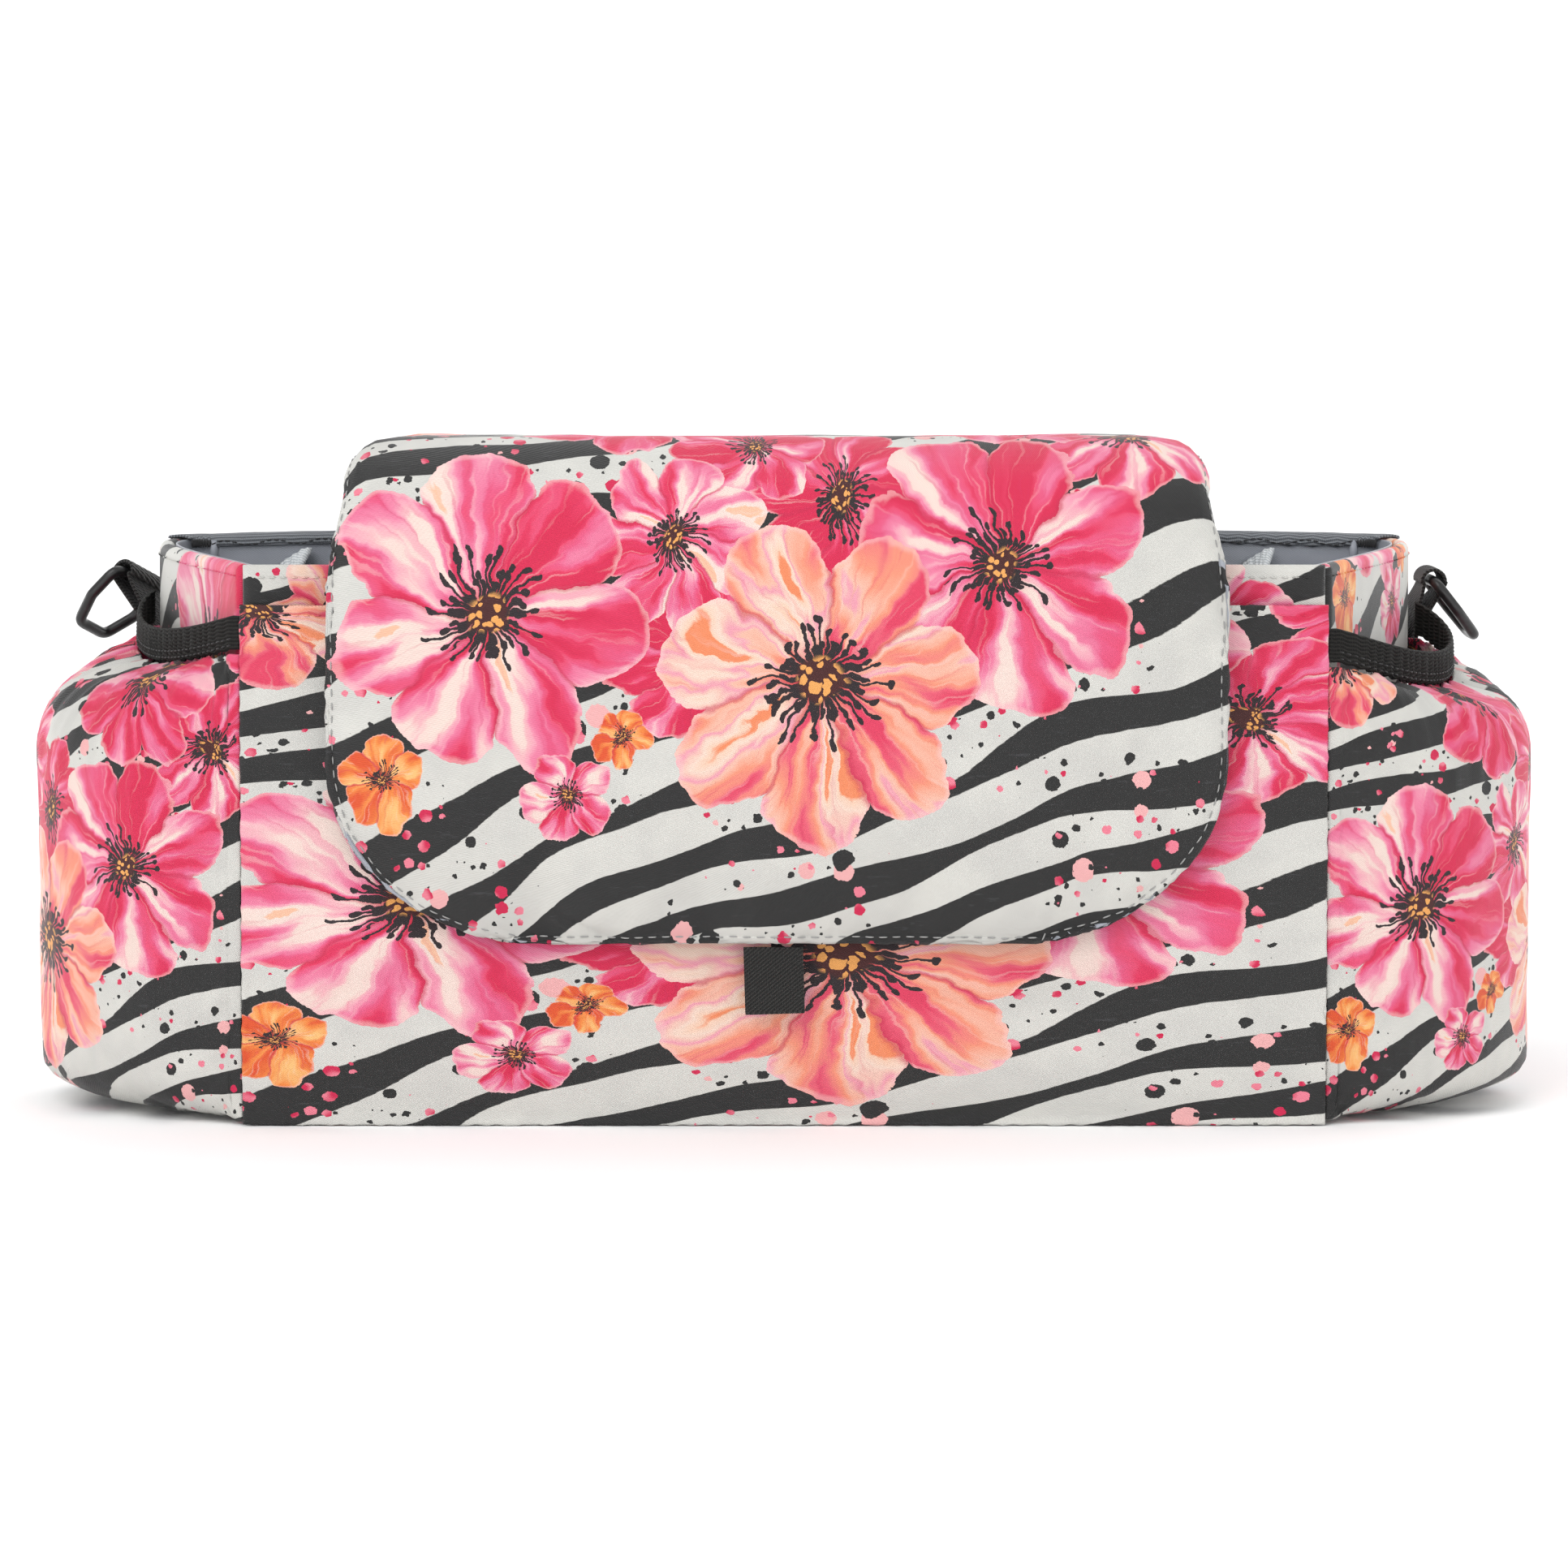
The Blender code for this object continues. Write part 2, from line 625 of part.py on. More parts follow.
def build():
    """The whole caddy."""
    clear_scene()
    build_body()
    build_rim_binding()
    build_front_pocket()
    for name, side in SIDES.items():
        build_side_pocket(name, side)
        build_pocket_elastic(name, side)
        build_divider(name)
        build_ring_loop(name)
        build_ring(name)
        build_stroller_strap(name)
    build_flap()
    build_closure()
    build_pull_tab()


build()
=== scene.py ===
"""Looks of the stroller-style diaper caddy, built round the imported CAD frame.

Metres, +Z up. The front faces -Y. Grids of points run down or up a piece by rows and along it by columns.
"""

import math

import bpy
import numpy as np
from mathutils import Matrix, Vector


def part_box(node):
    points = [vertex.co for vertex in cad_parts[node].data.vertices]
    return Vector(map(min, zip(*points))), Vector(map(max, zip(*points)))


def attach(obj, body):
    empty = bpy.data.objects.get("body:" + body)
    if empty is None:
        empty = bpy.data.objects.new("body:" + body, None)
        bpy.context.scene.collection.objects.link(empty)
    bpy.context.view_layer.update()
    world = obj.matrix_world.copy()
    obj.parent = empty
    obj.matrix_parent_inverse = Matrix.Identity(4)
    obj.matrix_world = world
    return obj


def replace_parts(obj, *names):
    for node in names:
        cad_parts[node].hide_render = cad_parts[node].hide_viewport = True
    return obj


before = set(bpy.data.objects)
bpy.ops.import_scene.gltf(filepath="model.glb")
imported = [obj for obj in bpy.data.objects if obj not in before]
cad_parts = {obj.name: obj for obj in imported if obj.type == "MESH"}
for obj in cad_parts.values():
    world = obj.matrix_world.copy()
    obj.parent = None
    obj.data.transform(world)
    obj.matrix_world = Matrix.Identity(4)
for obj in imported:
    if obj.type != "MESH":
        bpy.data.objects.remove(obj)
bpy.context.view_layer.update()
TAU = 2.0 * math.pi

# Planes and sizes read from the frame
FRONT_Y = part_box("front_panel")[0].y
BACK_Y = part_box("back_panel")[1].y
RIM_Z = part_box("front_panel")[1].z
FRONT_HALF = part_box("front_panel")[1].x
BACK_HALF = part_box("back_panel")[1].x + 0.0003
# Depths below the walls' outer face, and how far the end walls' curve is pulled at its front and back
GAP = 0.0003
WALL = 0.0043
LINING_OUT = 0.0046
LINING_IN = 0.0054
END_FRONT_PULL = (0.014, 0.042)
END_BACK_PULL = 0.034
# The back rim's rise in the middle, and the t on the end walls' curve where the rim's binding ends
BACK_RISE = 0.0022
BINDING_END_T = 0.83
# Bottom pieces: how far inside the walls' outer face they end, and their lower and upper Z
BOTTOM = (0.0014, 0.0, 0.0033)
FLOOR_LINING = (LINING_OUT + 0.0002, 0.0037, 0.0044)
# Half thicknesses of cloths, and the radii of their edges
BINDING_HALF = 0.00034
WALL_EDGE = 0.0024
LINING_HALF = 0.00032
LINING_EDGE = 0.0005
# The lining's foot, the depth of its creases, its corner seams' radius, and the stitches' drop below the rim
LINING_FOOT = 0.0052
LINING_CREASE = 0.0007
SEAM_RADIUS = 0.0013
RIM_SEAM = 0.0034
# Cloth simulation: the pressure inside a piece, and the most that one of its points moves
PUFF = {"front": (0.5, 0.0007), "side": (3.0, 0.0030), "flap": (1.2, 0.0010)}
SIDES = {"left": -1.0, "right": 1.0}
UP = np.array([0.0, 0.0, 1.0])


# ---------------------------------------------------------------- colours and shader nodes


def srgb(red, green, blue):
    """A display colour of 0 to 255 as the linear colour that shaders use."""
    linear = []
    for value in (red, green, blue):
        v = value / 255.0
        linear.append(v / 12.92 if v <= 0.04045 else ((v + 0.055) / 1.055) ** 2.4)
    return (*linear, 1.0)


class Finish:
    """A material's node tree, with one short call for each kind of node."""

    def __init__(self, name, roughness=0.6, sheen=0.0, specular=0.5):
        self.material = bpy.data.materials.new(name)
        self.material.use_nodes = True
        self.tree = self.material.node_tree
        self.shader = self.tree.nodes["Principled BSDF"]
        self.shader.inputs["Roughness"].default_value = roughness
        self.shader.inputs["Sheen Weight"].default_value = sheen
        self.shader.inputs["Sheen Roughness"].default_value = 0.45
        self.shader.inputs["Specular IOR Level"].default_value = specular

    def add(self, kind, values=(), **settings):
        node = self.tree.nodes.new("ShaderNode" + kind)
        for key, value in settings.items():
            setattr(node, key, value)
        items = values.items() if isinstance(values, dict) else enumerate(values)
        for key, value in items:
            if value is None:
                continue
            if isinstance(value, bpy.types.NodeSocket):
                self.tree.links.new(value, node.inputs[key])
            else:
                node.inputs[key].default_value = value
        return node

    def math(self, operation, *values):
        return self.add("Math", values, operation=operation).outputs[0]

    def times(self, a, b, added=None):
        """a times b, with a third value added if there is one."""
        return self.math("MULTIPLY", a, b) if added is None else self.math("MULTIPLY_ADD", a, b, added)

    def minus(self, a, b):
        return self.math("SUBTRACT", a, b)

    def below(self, a, b):
        """1 where a is less than b."""
        return self.math("LESS_THAN", a, b)

    def vector(self, operation, *values):
        node = self.add("VectorMath", values, operation=operation)
        scalar = operation in ("LENGTH", "DOT_PRODUCT", "DISTANCE")
        return node.outputs[1 if scalar else 0]

    def noise(self, vector, scale, detail=2.0, roughness=0.5, colour=False):
        values = {"Vector": vector, "Scale": scale, "Detail": detail, "Roughness": roughness}
        return self.add("TexNoise", values).outputs[1 if colour else 0]

    def split(self, vector):
        return self.add("SeparateXYZ", [vector]).outputs

    def join(self, x, y, z=0.0):
        return self.add("CombineXYZ", [x, y, z]).outputs[0]

    def mix(self, factor, a, b, kind="RGBA"):
        first = {"FLOAT": 2, "VECTOR": 4, "RGBA": 6}[kind]
        node = self.add("Mix", {0: factor, first: a, first + 1: b}, data_type=kind)
        return node.outputs[{"FLOAT": 0, "VECTOR": 1, "RGBA": 2}[kind]]

    def ramp(self, factor, stops, interpolation="LINEAR"):
        node = self.add("ValToRGB", [factor])
        made = node.color_ramp
        made.interpolation = interpolation
        while len(made.elements) > 1:
            made.elements.remove(made.elements[-1])
        made.elements[0].position = stops[0][0]
        made.elements[0].color = stops[0][1]
        for place, colour in stops[1:]:
            made.elements.new(place).color = colour
        return node.outputs[0]

    def step(self, value, low, high):
        """0 below low, 1 above high and smooth between them. Low may be the larger."""
        node = self.add("MapRange", [value, low, high, 0.0, 1.0], interpolation_type="SMOOTHSTEP")
        return node.outputs[0]

    def place(self, name):
        return self.add("Attribute", attribute_name=name).outputs["Vector"]

    def bump(self, height, distance, strength=1.0, normal=None):
        values = {"Height": height, "Distance": distance, "Strength": strength, "Normal": normal}
        return self.add("Bump", values).outputs[0]

    def colour(self, value):
        self.finish_input("Base Color", value)

    def finish_input(self, name, value):
        if isinstance(value, bpy.types.NodeSocket):
            self.tree.links.new(value, self.shader.inputs[name])
        else:
            self.shader.inputs[name].default_value = value


# ---------------------------------------------------------------- the printed cloth

# Each flower of the print: centre and radius in mm, turn in radians, petals, tone from hot to pale, and ink
FLOWERS = (
    (-114, 236, 27, 0.4, 7, 0.10, "peach"),
    (124, 236, 24, 1.1, 7, 0.00, "pink"),
    (96, 203, 28, 2.0, 7, -0.10, "pink"),
    (62, 228, 35, 0.9, 7, 0.02, "pink"),
    (-42, 222, 34, 0.2, 7, -0.02, "pink"),
    (16, 176, 27, 1.2, 7, -0.25, "pink"),
    (-24, 132, 24, 0.5, 7, -0.25, "pink"),
    (12, 250, 19, 1.7, 7, 0.20, "peach"),
    (-10, 196, 22, 0.7, 7, -0.12, "pink"),
    (-30, 164, 25, 1.3, 7, 0.18, "pink"),
    (60, 158, 41, 0.35, 7, -0.06, "pink"),
    (-83, 145, 45, 0.75, 7, 0.02, "pink"),
    (10, 124, 46, 0.15, 7, 0.08, "peach"),
    (-60, 95, 15, 0.6, 5, 0.00, "pink"),
    (-112, 97, 12, 0.2, 5, 0.00, "orange"),
    (-44, 111, 8, 1.0, 5, 0.00, "orange"),
)
LOBE_POWER = 0.62
LOBE_RISE = 0.30
LOBE_FOOT = 0.70
# In radii of a flower: half a stamen's width, and the half length and half width of its tip
STAMEN_HALF = 0.0088
ANTHER = (0.031, 0.021)
# In mm: the distance between two black bands, and the corners of the block in which the print repeats
BAND_PITCH = 21.5
REPEAT_HIGH = (165.0, 275.0, 1.0)
REPEAT_LOW = (-165.0, 45.0, -1.0)
# In metres: the weave's rib
TWILL_PITCH = 0.00095
BLACK_INK = srgb(38, 38, 38)
WHITE_INK = srgb(215, 214, 208)
CRIMSON = srgb(198, 34, 76)
PINK_PAINT = (
    (0.00, srgb(214, 34, 78)),
    (0.17, srgb(222, 50, 92)),
    (0.22, srgb(228, 74, 112)),
    (0.36, srgb(228, 88, 130)),
    (0.42, srgb(231, 112, 150)),
    (0.53, srgb(236, 132, 164)),
    (0.60, srgb(240, 164, 182)),
    (0.70, srgb(240, 182, 188)),
    (0.76, srgb(240, 212, 204)),
    (0.97, srgb(239, 218, 208)),
    (1.00, srgb(243, 190, 160)),
)
PEACH_PAINT = (
    (0.00, srgb(224, 62, 96)),
    (0.14, srgb(232, 96, 118)),
    (0.20, srgb(238, 128, 122)),
    (0.34, srgb(243, 150, 122)),
    (0.42, srgb(244, 172, 148)),
    (0.55, srgb(243, 188, 168)),
    (0.62, srgb(238, 158, 176)),
    (0.72, srgb(241, 196, 182)),
    (0.80, srgb(242, 214, 198)),
    (0.92, srgb(243, 204, 180)),
    (0.96, srgb(240, 140, 96)),
)
ORANGE_PAINT = (
    (0.10, srgb(222, 84, 40)),
    (0.50, srgb(240, 140, 66)),
    (0.90, srgb(247, 190, 120)),
)


def flower_table(values):
    """Stops of a stepped ramp that gives each flower its own grey value."""
    count = len(FLOWERS)
    return [(i / count, (v, v, v, 1.0)) for i, v in enumerate(values)]


def flower_value(f, number, values):
    """The value that the flower of this number has in a list with one value for each flower."""
    return f.split(f.ramp(number, flower_table(values), "CONSTANT"))[0]


def drift(f, raw, scale, detail, roughness=0.5):
    """Noise as a vector that points any way, up to half a unit long on each axis."""
    return f.vector("SUBTRACT", f.noise(raw, scale, detail, roughness, colour=True), (0.5, 0.5, 0.5))


def select_flower(f, place):
    """The place in radii inside the topmost flower here, with its number over 1000 as z, or z -1."""
    chosen = f.join(0.0, 0.0, -1.0)
    for number, (x, y, radius, turn, petals, _, _) in enumerate(FLOWERS):
        local = f.add(
            "Mapping",
            {
                "Vector": place,
                "Location": (x, y, -number * 0.001),
                "Rotation": (0.0, 0.0, turn),
                "Scale": (radius, radius, 1.0),
            },
            vector_type="TEXTURE",
        ).outputs[0]
        parts = f.split(local)
        angle = f.math("ARCTAN2", parts[1], parts[0])
        lobe = f.math("ABSOLUTE", f.math("COSINE", f.times(angle, petals / 2.0)))
        edge = f.times(f.math("POWER", lobe, LOBE_POWER), LOBE_RISE, LOBE_FOOT)
        inside = f.below(f.vector("LENGTH", local), edge)
        chosen = f.mix(inside, chosen, local, "VECTOR")
    return chosen


def zebra(f, raw, rough):
    """Black wavy bands that rise to the right: 1 in the black."""
    parts = f.split(raw)
    slow = f.noise(raw, 0.0085, 0.0)
    sway = f.math("SINE", f.times(parts[0], 0.040, f.times(parts[1], 0.022)))
    rise = f.times(parts[0], -0.37, parts[1])
    rise = f.times(sway, 5.0, rise)
    rise = f.times(slow, 52.0, rise)
    rise = f.times(f.noise(raw, 0.032, 0.0), 7.0, rise)
    wave = f.math("SINE", f.times(rise, TAU / BAND_PITCH))
    width = f.times(f.noise(raw, 0.017, 0.0), 2.7, -1.37)
    level = f.math("ADD", wave, width)
    level = f.times(rough, 0.22, level)
    return f.step(level, 0.02, 0.10)


def spatter(f, place, patchy, cell, share, size, offset):
    """Round drops of paint, each in its own cell, on a share of the cells: 1 in a drop."""
    moved = f.vector("MULTIPLY_ADD", place, (1.0 / cell, 1.0 / cell, 0.0), offset)
    node = f.add("TexVoronoi", {"Vector": moved, "Scale": 1.0, "Randomness": 1.0})
    chance = f.split(node.outputs["Color"])
    drop = f.times(f.times(chance[1], chance[1]), size, 0.07)
    there = f.below(chance[0], share)
    reach = f.times(f.times(drop, there), patchy)
    return f.below(node.outputs["Distance"], reach)


def stamens(f, angle, reach, number, count, low, span, seed):
    """Thin strokes out of the heart, each of its own length, with an oval dot at its tip: 1 in them."""
    spoke = f.times(angle, count / TAU)
    nearest = f.math("ROUND", spoke)
    luck = f.add("TexWhiteNoise", {"Vector": f.join(nearest, number, seed)}, noise_dimensions="3D")
    tip = f.times(luck.outputs[0], span, low)
    sway = f.times(f.minus(f.split(luck.outputs[1])[1], 0.5), 0.55)
    beside = f.minus(f.minus(spoke, nearest), sway)
    beside = f.times(f.times(beside, TAU / count), reach)
    on_line = f.below(f.math("ABSOLUTE", beside), STAMEN_HALF)
    stroke = f.times(f.below(reach, tip), on_line)
    beyond = f.times(f.minus(reach, tip), 1.0 / ANTHER[0])
    oval = f.vector("LENGTH", f.join(f.times(beside, 1.0 / ANTHER[1]), beyond))
    return f.math("MAXIMUM", stroke, f.below(oval, 1.0))


def twill(f, cloth, strength=0.5):
    """The bump of a fine diagonal weave with slight slubs."""
    parts = f.split(cloth)
    diagonal = f.math("ADD", parts[0], f.times(parts[1], 1.7))
    ribs = f.math("SINE", f.times(diagonal, TAU / TWILL_PITCH))
    slubs = f.noise(cloth, 1500.0, 2.0)
    height = f.times(slubs, 0.9, ribs)
    soft = f.noise(cloth, 55.0, 3.0)
    first = f.bump(soft, 0.0012, 0.5)
    return f.bump(height, 0.00009, strength, first), ribs, slubs


def print_ground(f, raw, rough_way):
    """The bands with their dry brush marks, under tinted, black and pink drops of paint."""
    dry = f.noise(f.vector("MULTIPLY", raw, (0.10, 0.62, 0.0)), 1.0, 3.0, 0.65)
    dark = zebra(f, raw, f.minus(dry, 0.5))
    black = f.mix(f.step(dry, 0.60, 0.72), BLACK_INK, srgb(56, 56, 58))
    white = f.mix(f.step(f.noise(raw, 0.055, 2.0), 0.35, 0.65), WHITE_INK, srgb(207, 206, 201))
    ground = f.mix(dark, white, black)
    drops_at = f.vector("MULTIPLY_ADD", rough_way, (1.3, 1.3, 0.0), raw)
    patchy = f.step(f.noise(raw, 0.021, 1.0), 0.40, 0.50)
    pink = f.mix(f.step(f.noise(raw, 0.16, 1.0), 0.42, 0.58), srgb(208, 30, 78), srgb(236, 128, 148))
    for cell, share, size, offset, ink in (
        (8.5, 0.36, 0.36, (6.4, 1.3, 0.0), srgb(238, 176, 176)),
        (7.4, 0.42, 0.42, (3.1, 7.7, 0.0), BLACK_INK),
        (2.6, 0.42, 0.42, (5.3, 2.2, 0.0), BLACK_INK),
        (4.3, 0.46, 0.44, (0.4, 2.3, 0.0), pink),
    ):
        ground = f.mix(spatter(f, drops_at, patchy, cell, share, size, offset), ground, ink)
    return ground


def print_finish():
    """Polyester twill printed with painted flowers over zebra bands."""
    f = Finish("print_cloth", roughness=0.5, sheen=0.10, specular=0.32)
    raw = f.place("print")
    rough_way = drift(f, raw, 0.85, 2.0, 0.6)
    place = raw
    for way, reach in ((drift(f, raw, 0.030, 1.0), 15.0), (drift(f, raw, 0.15, 1.0), 4.6), (rough_way, 0.9)):
        place = f.vector("MULTIPLY_ADD", way, (reach, reach, 0.0), place)
    ground = print_ground(f, raw, rough_way)
    wrapped = f.vector("WRAP", place, REPEAT_HIGH, REPEAT_LOW)
    chosen = select_flower(f, wrapped)
    parts = f.split(chosen)
    flower = f.math("GREATER_THAN", parts[2], -0.5)
    number = f.times(parts[2], 1000.0 / len(FLOWERS), 0.5 / len(FLOWERS))
    reach = f.vector("LENGTH", chosen)
    angle = f.math("ARCTAN2", parts[1], parts[0])
    first_small = min(i for i, row in enumerate(FLOWERS) if row[4] == 5)
    small = f.math("GREATER_THAN", parts[2], (first_small - 0.5) * 0.001)
    petals = f.mix(small, 7.0 / TAU, 5.0 / TAU, "FLOAT")
    turn = f.times(angle, petals)
    petal = f.math("ROUND", turn)
    beside = f.minus(turn, petal)
    away = f.minus(0.5, f.math("ABSOLUTE", beside))
    lobe = f.math("ABSOLUTE", f.math("COSINE", f.times(turn, math.pi)))
    rim = f.times(f.math("POWER", lobe, LOBE_POWER), LOBE_RISE, LOBE_FOOT)
    rim = f.minus(rim, reach)
    chance = f.add("TexWhiteNoise", {"Vector": f.join(petal, number)}, noise_dimensions="3D").outputs[0]
    lean = f.times(f.minus(chance, 0.5), f.times(reach, 0.5), beside)
    own = f.times(number, 61.0, f.times(petal, 3.7))
    broad_at = f.join(f.times(lean, 3.1), f.times(reach, 1.15), own)
    broad = f.noise(broad_at, 1.0, 1.0, 0.4)
    fine_at = f.join(f.times(lean, 17.0), f.times(reach, 1.6), own)
    fine = f.noise(fine_at, 1.0, 2.0)
    tone = flower_value(f, number, [0.5 + 2 * row[5] for row in FLOWERS])
    shade = f.times(broad, 2.4, -0.92)
    shade = f.times(chance, 0.34, shade)
    shade = f.times(fine, 0.20, shade)
    shade = f.times(tone, 0.55, f.minus(shade, 0.47))
    paint = f.ramp(shade, PINK_PAINT)
    for ink, paints in (("peach", PEACH_PAINT), ("orange", ORANGE_PAINT)):
        there = flower_value(f, number, [float(row[6] == ink) for row in FLOWERS])
        paint = f.mix(there, paint, f.ramp(shade, paints))
    streak = f.times(f.step(fine, 0.56, 0.74), 0.30)
    paint = f.mix(streak, paint, srgb(246, 214, 208))
    streak = f.times(f.step(fine, 0.42, 0.28), 0.26)
    paint = f.mix(streak, paint, srgb(206, 44, 96))
    paint = f.mix(f.times(f.step(rim, 0.050, 0.010), 0.42), paint, srgb(246, 206, 204))
    crease = f.times(f.step(f.times(away, reach), 0.030, 0.004), 0.60)
    paint = f.mix(crease, paint, CRIMSON)
    glow = f.times(f.step(reach, 0.30, 0.08), 0.72)
    paint = f.mix(glow, paint, srgb(206, 48, 62))
    long_ones = stamens(f, angle, reach, number, 34.0, 0.19, 0.20, 3.0)
    short_ones = stamens(f, angle, reach, number, 23.0, 0.12, 0.14, 8.0)
    paint = f.mix(f.math("MAXIMUM", long_ones, short_ones), paint, srgb(42, 32, 36))
    seeds = f.add("TexVoronoi", {"Vector": chosen, "Scale": 19.0}).outputs["Distance"]
    heart = f.mix(f.below(seeds, 0.42), srgb(72, 30, 30), srgb(238, 168, 92))
    paint = f.mix(f.step(reach, 0.14, 0.10), paint, heart)
    colour = f.mix(flower, ground, paint)

    normal, ribs, slubs = twill(f, f.place("cloth"))
    # The print's value follows the twill's ribs, a faint painted shade in the grooves between them, and 0.815
    # sets the print's overall brightness.
    threads = f.times(ribs, 0.022, 0.815)
    f.colour(f.add("HueSaturation", {"Color": colour, "Value": threads}).outputs[0])
    f.finish_input("Normal", normal)
    f.finish_input("Roughness", f.times(slubs, 0.18, 0.42))
    return f.material


# ---------------------------------------------------------------- the plain finishes


def lining_finish():
    """Grey satin with soft creases."""
    f = Finish("lining_cloth", roughness=0.42, sheen=0.2, specular=0.45)
    cloth = f.place("cloth")
    cloud = f.noise(cloth, 28.0, 3.0)
    f.colour(f.ramp(cloud, ((0.3, srgb(140, 144, 153)), (0.7, srgb(153, 157, 165)))))
    normal, _, slubs = twill(f, cloth, 0.3)
    creases = f.bump(f.noise(cloth, 46.0, 2.0), 0.004, 0.5, normal)
    f.finish_input("Normal", creases)
    f.finish_input("Roughness", f.times(slubs, 0.2, 0.30))
    return f.material


def ribbed_finish(name, dark, light, pitch, across=0.0, roughness=0.75, depth=0.0002, lengthwise=False):
    """Woven tape: fine ribs across or along its length, crossed by threads. Elastic has lengthwise ones."""
    f = Finish(name, roughness=roughness, sheen=0.0 if lengthwise else 0.1, specular=0.3)
    cloth = f.place("cloth")
    parts = f.split(cloth)
    if lengthwise:
        parts = (parts[1], parts[0])
    along = f.times(parts[0], across, parts[1])
    ribs = f.math("SINE", f.times(along, TAU / pitch))
    picks = f.math("SINE", f.times(parts[0], TAU / (pitch * 0.6)))
    fuzz = f.noise(cloth, 2200.0, 2.0)
    height = f.times(picks, 0.35, ribs)
    height = f.times(fuzz, 0.8, height)
    # Colour follows the weave's height: painted shade darkens the grooves and the raised ribs and threads are
    # lighter, and the fuzz adds random tone.
    f.colour(f.mix(f.step(height, -0.6, 1.5), dark, light))
    f.finish_input("Normal", f.bump(height, depth, 0.8))
    f.finish_input("Roughness", f.times(fuzz, 0.2, roughness - 0.1))
    return f.material


def plastic_finish():
    """Moulded black plastic with a faint grain and scuffed highlights."""
    f = Finish("black_plastic", roughness=0.34, specular=0.5)
    place = f.add("TexCoord").outputs["Object"]
    grain = f.noise(place, 900.0, 3.0)
    scuffs = f.noise(place, 120.0, 4.0, 0.65)
    f.colour(f.mix(f.step(scuffs, 0.55, 0.8), srgb(20, 20, 21), srgb(42, 42, 43)))
    f.finish_input("Roughness", f.times(scuffs, 0.3, 0.2))
    f.finish_input("Normal", f.bump(grain, 0.00008, 0.6))
    return f.material


def hook_loop_finish():
    """The matted nap of hook-and-loop tape."""
    f = Finish("hook_and_loop", roughness=0.9, sheen=0.3, specular=0.2)
    cloth = f.place("cloth")
    nap = f.noise(cloth, 1400.0, 4.0, 0.7)
    tufts = f.add("TexVoronoi", {"Vector": cloth, "Scale": 900.0}).outputs["Distance"]
    height = f.times(tufts, -0.8, nap)
    f.colour(f.mix(nap, srgb(16, 16, 18), srgb(62, 62, 66)))
    f.finish_input("Normal", f.bump(height, 0.0005, 0.8))
    return f.material


def thread_finish(name, colour, shadow):
    """Twisted sewing thread."""
    f = Finish(name, roughness=0.55, sheen=0.2, specular=0.4)
    place = f.add("TexCoord").outputs["Object"]
    twist = f.noise(place, 3200.0, 1.0)
    f.colour(f.mix(twist, shadow, colour))
    f.finish_input("Normal", f.bump(twist, 0.0001, 0.6))
    return f.material


def floor_finish():
    """A plain pale floor with the faintest mottling."""
    f = Finish("pale_floor", roughness=0.85, specular=0.2)
    place = f.add("TexCoord").outputs["Object"]
    cloud = f.noise(place, 3.0, 3.0)
    f.colour(f.ramp(cloud, ((0.2, srgb(249, 249, 249)), (0.8, srgb(252, 252, 252)))))
    return f.material


PRINT = print_finish()
LINING = lining_finish()
LIGHT_TAPE = ribbed_finish("light_tape", srgb(178, 183, 187), srgb(216, 219, 221), 0.0016, 0.9)
DARK_TAPE = ribbed_finish("dark_tape", srgb(88, 91, 96), srgb(130, 134, 139), 0.0010)
ELASTIC = ribbed_finish(
    "black_elastic", srgb(10, 10, 9), srgb(38, 37, 34), 0.00106, depth=0.0005, lengthwise=True
)
WEBBING = ribbed_finish("black_webbing", srgb(13, 13, 13), srgb(46, 45, 43), 0.0011, 0.8, 0.6, 0.0003)
PLASTIC = plastic_finish()
HOOK_LOOP = hook_loop_finish()
DARK_THREAD = thread_finish("dark_thread", srgb(44, 44, 46), srgb(20, 20, 22))
CLEAR_THREAD = thread_finish("clear_thread", srgb(164, 164, 162), srgb(116, 116, 115))
GREY_THREAD = thread_finish("grey_thread", srgb(158, 160, 164), srgb(110, 112, 118))


# ---------------------------------------------------------------- mesh helpers


def unit(vectors):
    """Vectors along the last axis at length one."""
    vectors = np.asarray(vectors, float)
    return vectors / np.maximum(np.linalg.norm(vectors, axis=-1, keepdims=True), 1e-12)


def make_mesh(name, points, faces, finish, body, places=None, slot=None):
    """A smooth-shaded mesh object that rides on a body, with its finish as its material. Blender adds a number
    to a finish's name because the frame's material has that name too.

    slot is not used.
    """
    mesh = bpy.data.meshes.new(name)
    mesh.from_pydata(np.asarray(points, float).tolist(), [], faces)
    mesh.polygons.foreach_set("use_smooth", [True] * len(mesh.polygons))
    for key, values in (places or {}).items():
        layer = mesh.attributes.new(key, "FLOAT_VECTOR", "POINT")
        layer.data.foreach_set("vector", np.asarray(values, np.float32).ravel())
    mesh.materials.append(finish)
    mesh.validate()
    made = bpy.data.objects.new(name, mesh)
    bpy.context.scene.collection.objects.link(made)
    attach(made, body)
    slot or finish.name.split(".")[0]
    return made


def grid_normals(middle, flip=1.0):
    """Unit normals of a grid of points."""
    down = np.gradient(middle, axis=0)
    across = np.gradient(middle, axis=1)
    return unit(np.cross(across, down)) * flip


def lengths(line):
    """How far along a line each of its points is."""
    steps = np.linalg.norm(np.diff(line, axis=0), axis=1)
    return np.concatenate([[0.0], np.cumsum(steps)])


def grid_arcs(middle):
    """Arc lengths down and across a grid."""
    down = np.linalg.norm(np.diff(middle, axis=0), axis=2)
    across = np.linalg.norm(np.diff(middle, axis=1), axis=2)
    down = np.vstack([np.zeros((1, middle.shape[1])), np.cumsum(down, axis=0)])
    across = np.hstack([np.zeros((middle.shape[0], 1)), np.cumsum(across, axis=1)])
    return down, across


